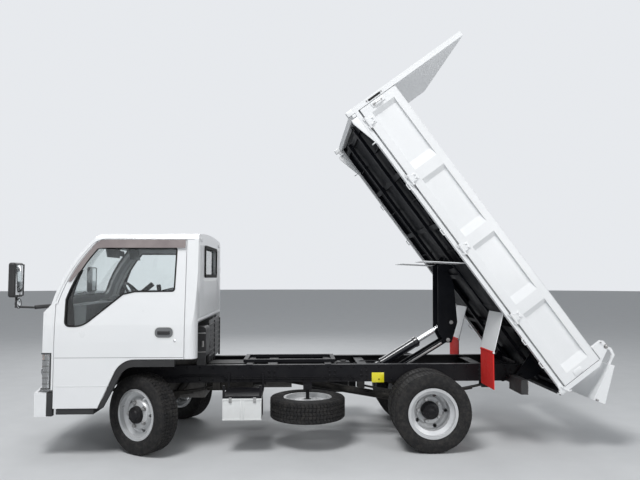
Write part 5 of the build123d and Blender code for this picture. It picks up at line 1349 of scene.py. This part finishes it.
rod(bm, (2.5, -0.02, 1.15), (2.535, -0.02, 1.205), 0.045, 24, 0.006, far_radius=0.018)
piece("gear_lever", bm, black_plastic, "cab", TRUCK)


def evaluated(obj):
    """The object's mesh as its modifiers leave it."""
    graph = bpy.context.evaluated_depsgraph_get()
    return bpy.data.meshes.new_from_object(obj.evaluated_get(graph))


CLOTH_FRAMES = 20
PAD_PRESSURE = 4
CUSHION_HALF = 0.232
BACK_HALF = 0.22


def pad_mesh(bm, cap, voxel=0.006):
    """A pad's mesh, remeshed and swollen by cloth pressure, moved by at most cap."""
    mesh = bpy.data.meshes.new("pad")
    bm.to_mesh(mesh)
    bm.free()
    work = bpy.data.objects.new("pad", mesh)
    bpy.context.scene.collection.objects.link(work)
    remesh = work.modifiers.new("remesh", "REMESH")
    remesh.mode = "VOXEL"
    remesh.voxel_size = voxel
    start = evaluated(work)
    work.modifiers.clear()
    work.data = start
    cloth = work.modifiers.new("cloth", "CLOTH")
    cloth.settings.quality = 5
    cloth.settings.use_pressure = True
    cloth.settings.uniform_pressure_force = PAD_PRESSURE
    cloth.settings.effector_weights.gravity = 0
    cloth.point_cache.frame_start = 1
    cloth.point_cache.frame_end = CLOTH_FRAMES
    scene = bpy.context.scene
    for number in range(1, CLOTH_FRAMES + 1):
        scene.frame_set(number)
    swollen = evaluated(work)
    for vert, rest in zip(swollen.vertices, start.vertices):
        move = vert.co - rest.co
        if move.length > cap:
            vert.co = rest.co + move.normalized() * cap
    scene.frame_set(1)
    work.modifiers.clear()
    work.data = swollen
    done = bmesh.new()
    done.from_mesh(work.data)
    bpy.data.objects.remove(work)
    return done


def channels(bm, axis, lines, depth_axis, deep, wide, facing_up):
    """Presses sewn channels into a pad across one axis."""
    for vert in bm.verts:
        if vert.normal[depth_axis] * facing_up < 0.35:
            continue
        for line in lines:
            near = abs(vert.co[axis] - line) / wide
            if near < 1:
                vert.co[depth_axis] -= facing_up * deep * (1 - near ** 2) ** 2


lean_point = Matrix.Translation((2.225, 0, 1.25))
seat_back_place = lean_point @ Matrix.Rotation(math.radians(-8), 4, "Y") @ lean_point.inverted()
for side, word in SIDES:
    y = side * SEAT_Y
    bm = bmesh.new()
    block(bm, (2.292, y - CUSHION_HALF, 1.166), (2.72, y + CUSHION_HALF, 1.262), 0.03, 4)
    for vert in bm.verts:
        if vert.co.z > 1.22:
            vert.co.z -= 0.01 * ((vert.co.y - y) / CUSHION_HALF) ** 2
    bm = pad_mesh(bm, 0.014)
    bm.normal_update()
    channels(bm, 1, (y - 0.145, y + 0.145), 2, 0.007, 0.01, 1)
    channels(bm, 0, (2.4, 2.5, 2.6), 2, 0.004, 0.008, 1)
    cushion = piece("seat_cushion_" + word, bm, seat_cloth, "cab", TRUCK, sharp=180)
    bm = bmesh.new()
    block(bm, (2.188, y - BACK_HALF, 1.225), (2.262, y + BACK_HALF, 1.69), 0.03, 4)
    bm = pad_mesh(bm, 0.012)
    bm.normal_update()
    channels(bm, 1, (y - 0.14, y + 0.14), 0, 0.007, 0.01, 1)
    channels(bm, 2, (1.36, 1.48, 1.6), 0, 0.004, 0.008, 1)
    bmesh.ops.transform(bm, matrix=seat_back_place, verts=bm.verts)
    back = piece("seat_back_" + word, bm, seat_cloth, "cab", TRUCK, sharp=180)
    for pad in (cushion, back):
        smooth = pad.modifiers.new("smooth", "SUBSURF")
        smooth.levels = smooth.render_levels = 1
    if word == "right":
        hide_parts("seats")
bm = bmesh.new()
for y in (SEAT_Y, -SEAT_Y):
    for x in (2.33, 2.66):
        block(bm, (x - 0.02, y - 0.2, 1.149), (x + 0.02, y + 0.2, 1.172), 0.004)
    across_bar(bm, Vector((2.232, y, 1.235)), 0.235, 0.02, 20, 0.004)
piece("seat_mounts", bm, black_plastic, "cab", TRUCK)


# Floor and light

FLOOR_RADIUS = 70
FLOOR_COLOUR = (0.6, 0.61, 0.62)
BACKGROUND = (0.8, 0.82, 0.85, 1)
AMBIENT = (0.92, 0.96, 1.0, 1)
AMBIENT_STRENGTH = 0.36

bm = bmesh.new()
bmesh.ops.create_circle(bm, cap_ends=True, radius=FLOOR_RADIUS, segments=96)
floor_mesh = bpy.data.meshes.new("floor")
bm.to_mesh(floor_mesh)
bm.free()
floor = bpy.data.objects.new("floor", floor_mesh)
bpy.context.scene.collection.objects.link(floor)
floor_finish = Finish("floor").base(*FLOOR_COLOUR).set(Roughness=0.85)
floor_finish.tint(floor_finish.spread(floor_finish.noise(3, 6), 0.3, 0.8), 0.56, 0.57, 0.58)
floor_mesh.materials.append(floor_finish.material)

world = bpy.data.worlds.new("studio")
bpy.context.scene.world = world
world.use_nodes = True
tree = world.node_tree
tree.nodes.clear()
output = tree.nodes.new("ShaderNodeOutputWorld")
seen, lit = tree.nodes.new("ShaderNodeBackground"), tree.nodes.new("ShaderNodeBackground")
seen.inputs["Color"].default_value = BACKGROUND
lit.inputs["Color"].default_value = AMBIENT
lit.inputs["Strength"].default_value = AMBIENT_STRENGTH
mix = tree.nodes.new("ShaderNodeMixShader")
path = tree.nodes.new("ShaderNodeLightPath")
either = None
for ray in ("Is Camera Ray", "Is Glossy Ray", "Is Transmission Ray"):
    if either is None:
        either = path.outputs[ray]
        continue
    joined = tree.nodes.new("ShaderNodeMath")
    joined.operation = "MAXIMUM"
    tree.links.new(either, joined.inputs[0])
    tree.links.new(path.outputs[ray], joined.inputs[1])
    either = joined.outputs["Value"]
tree.links.new(either, mix.inputs["Fac"])
tree.links.new(lit.outputs["Background"], mix.inputs[1])
tree.links.new(seen.outputs["Background"], mix.inputs[2])
tree.links.new(mix.outputs["Shader"], output.inputs["Surface"])

LAMPS = [                 # name, place, watts, size
    ("key", (3.0, 6.0, 10.0), 825, 3.5),
    ("fill", (-5.0, 6.5, 3.5), 150, 4.0),
    ("back", (1.0, -7.0, 6.0), 180, 4.0),
]
for name, place, watts, size in LAMPS:
    light = bpy.data.lights.new(name, "AREA")
    light.energy = watts
    light.size = size
    lamp = bpy.data.objects.new(name, light)
    lamp.location = place
    lamp.rotation_euler = (Vector((0, 0, 1)) - Vector(place)).to_track_quat("-Z", "Y").to_euler()
    bpy.context.scene.collection.objects.link(lamp)
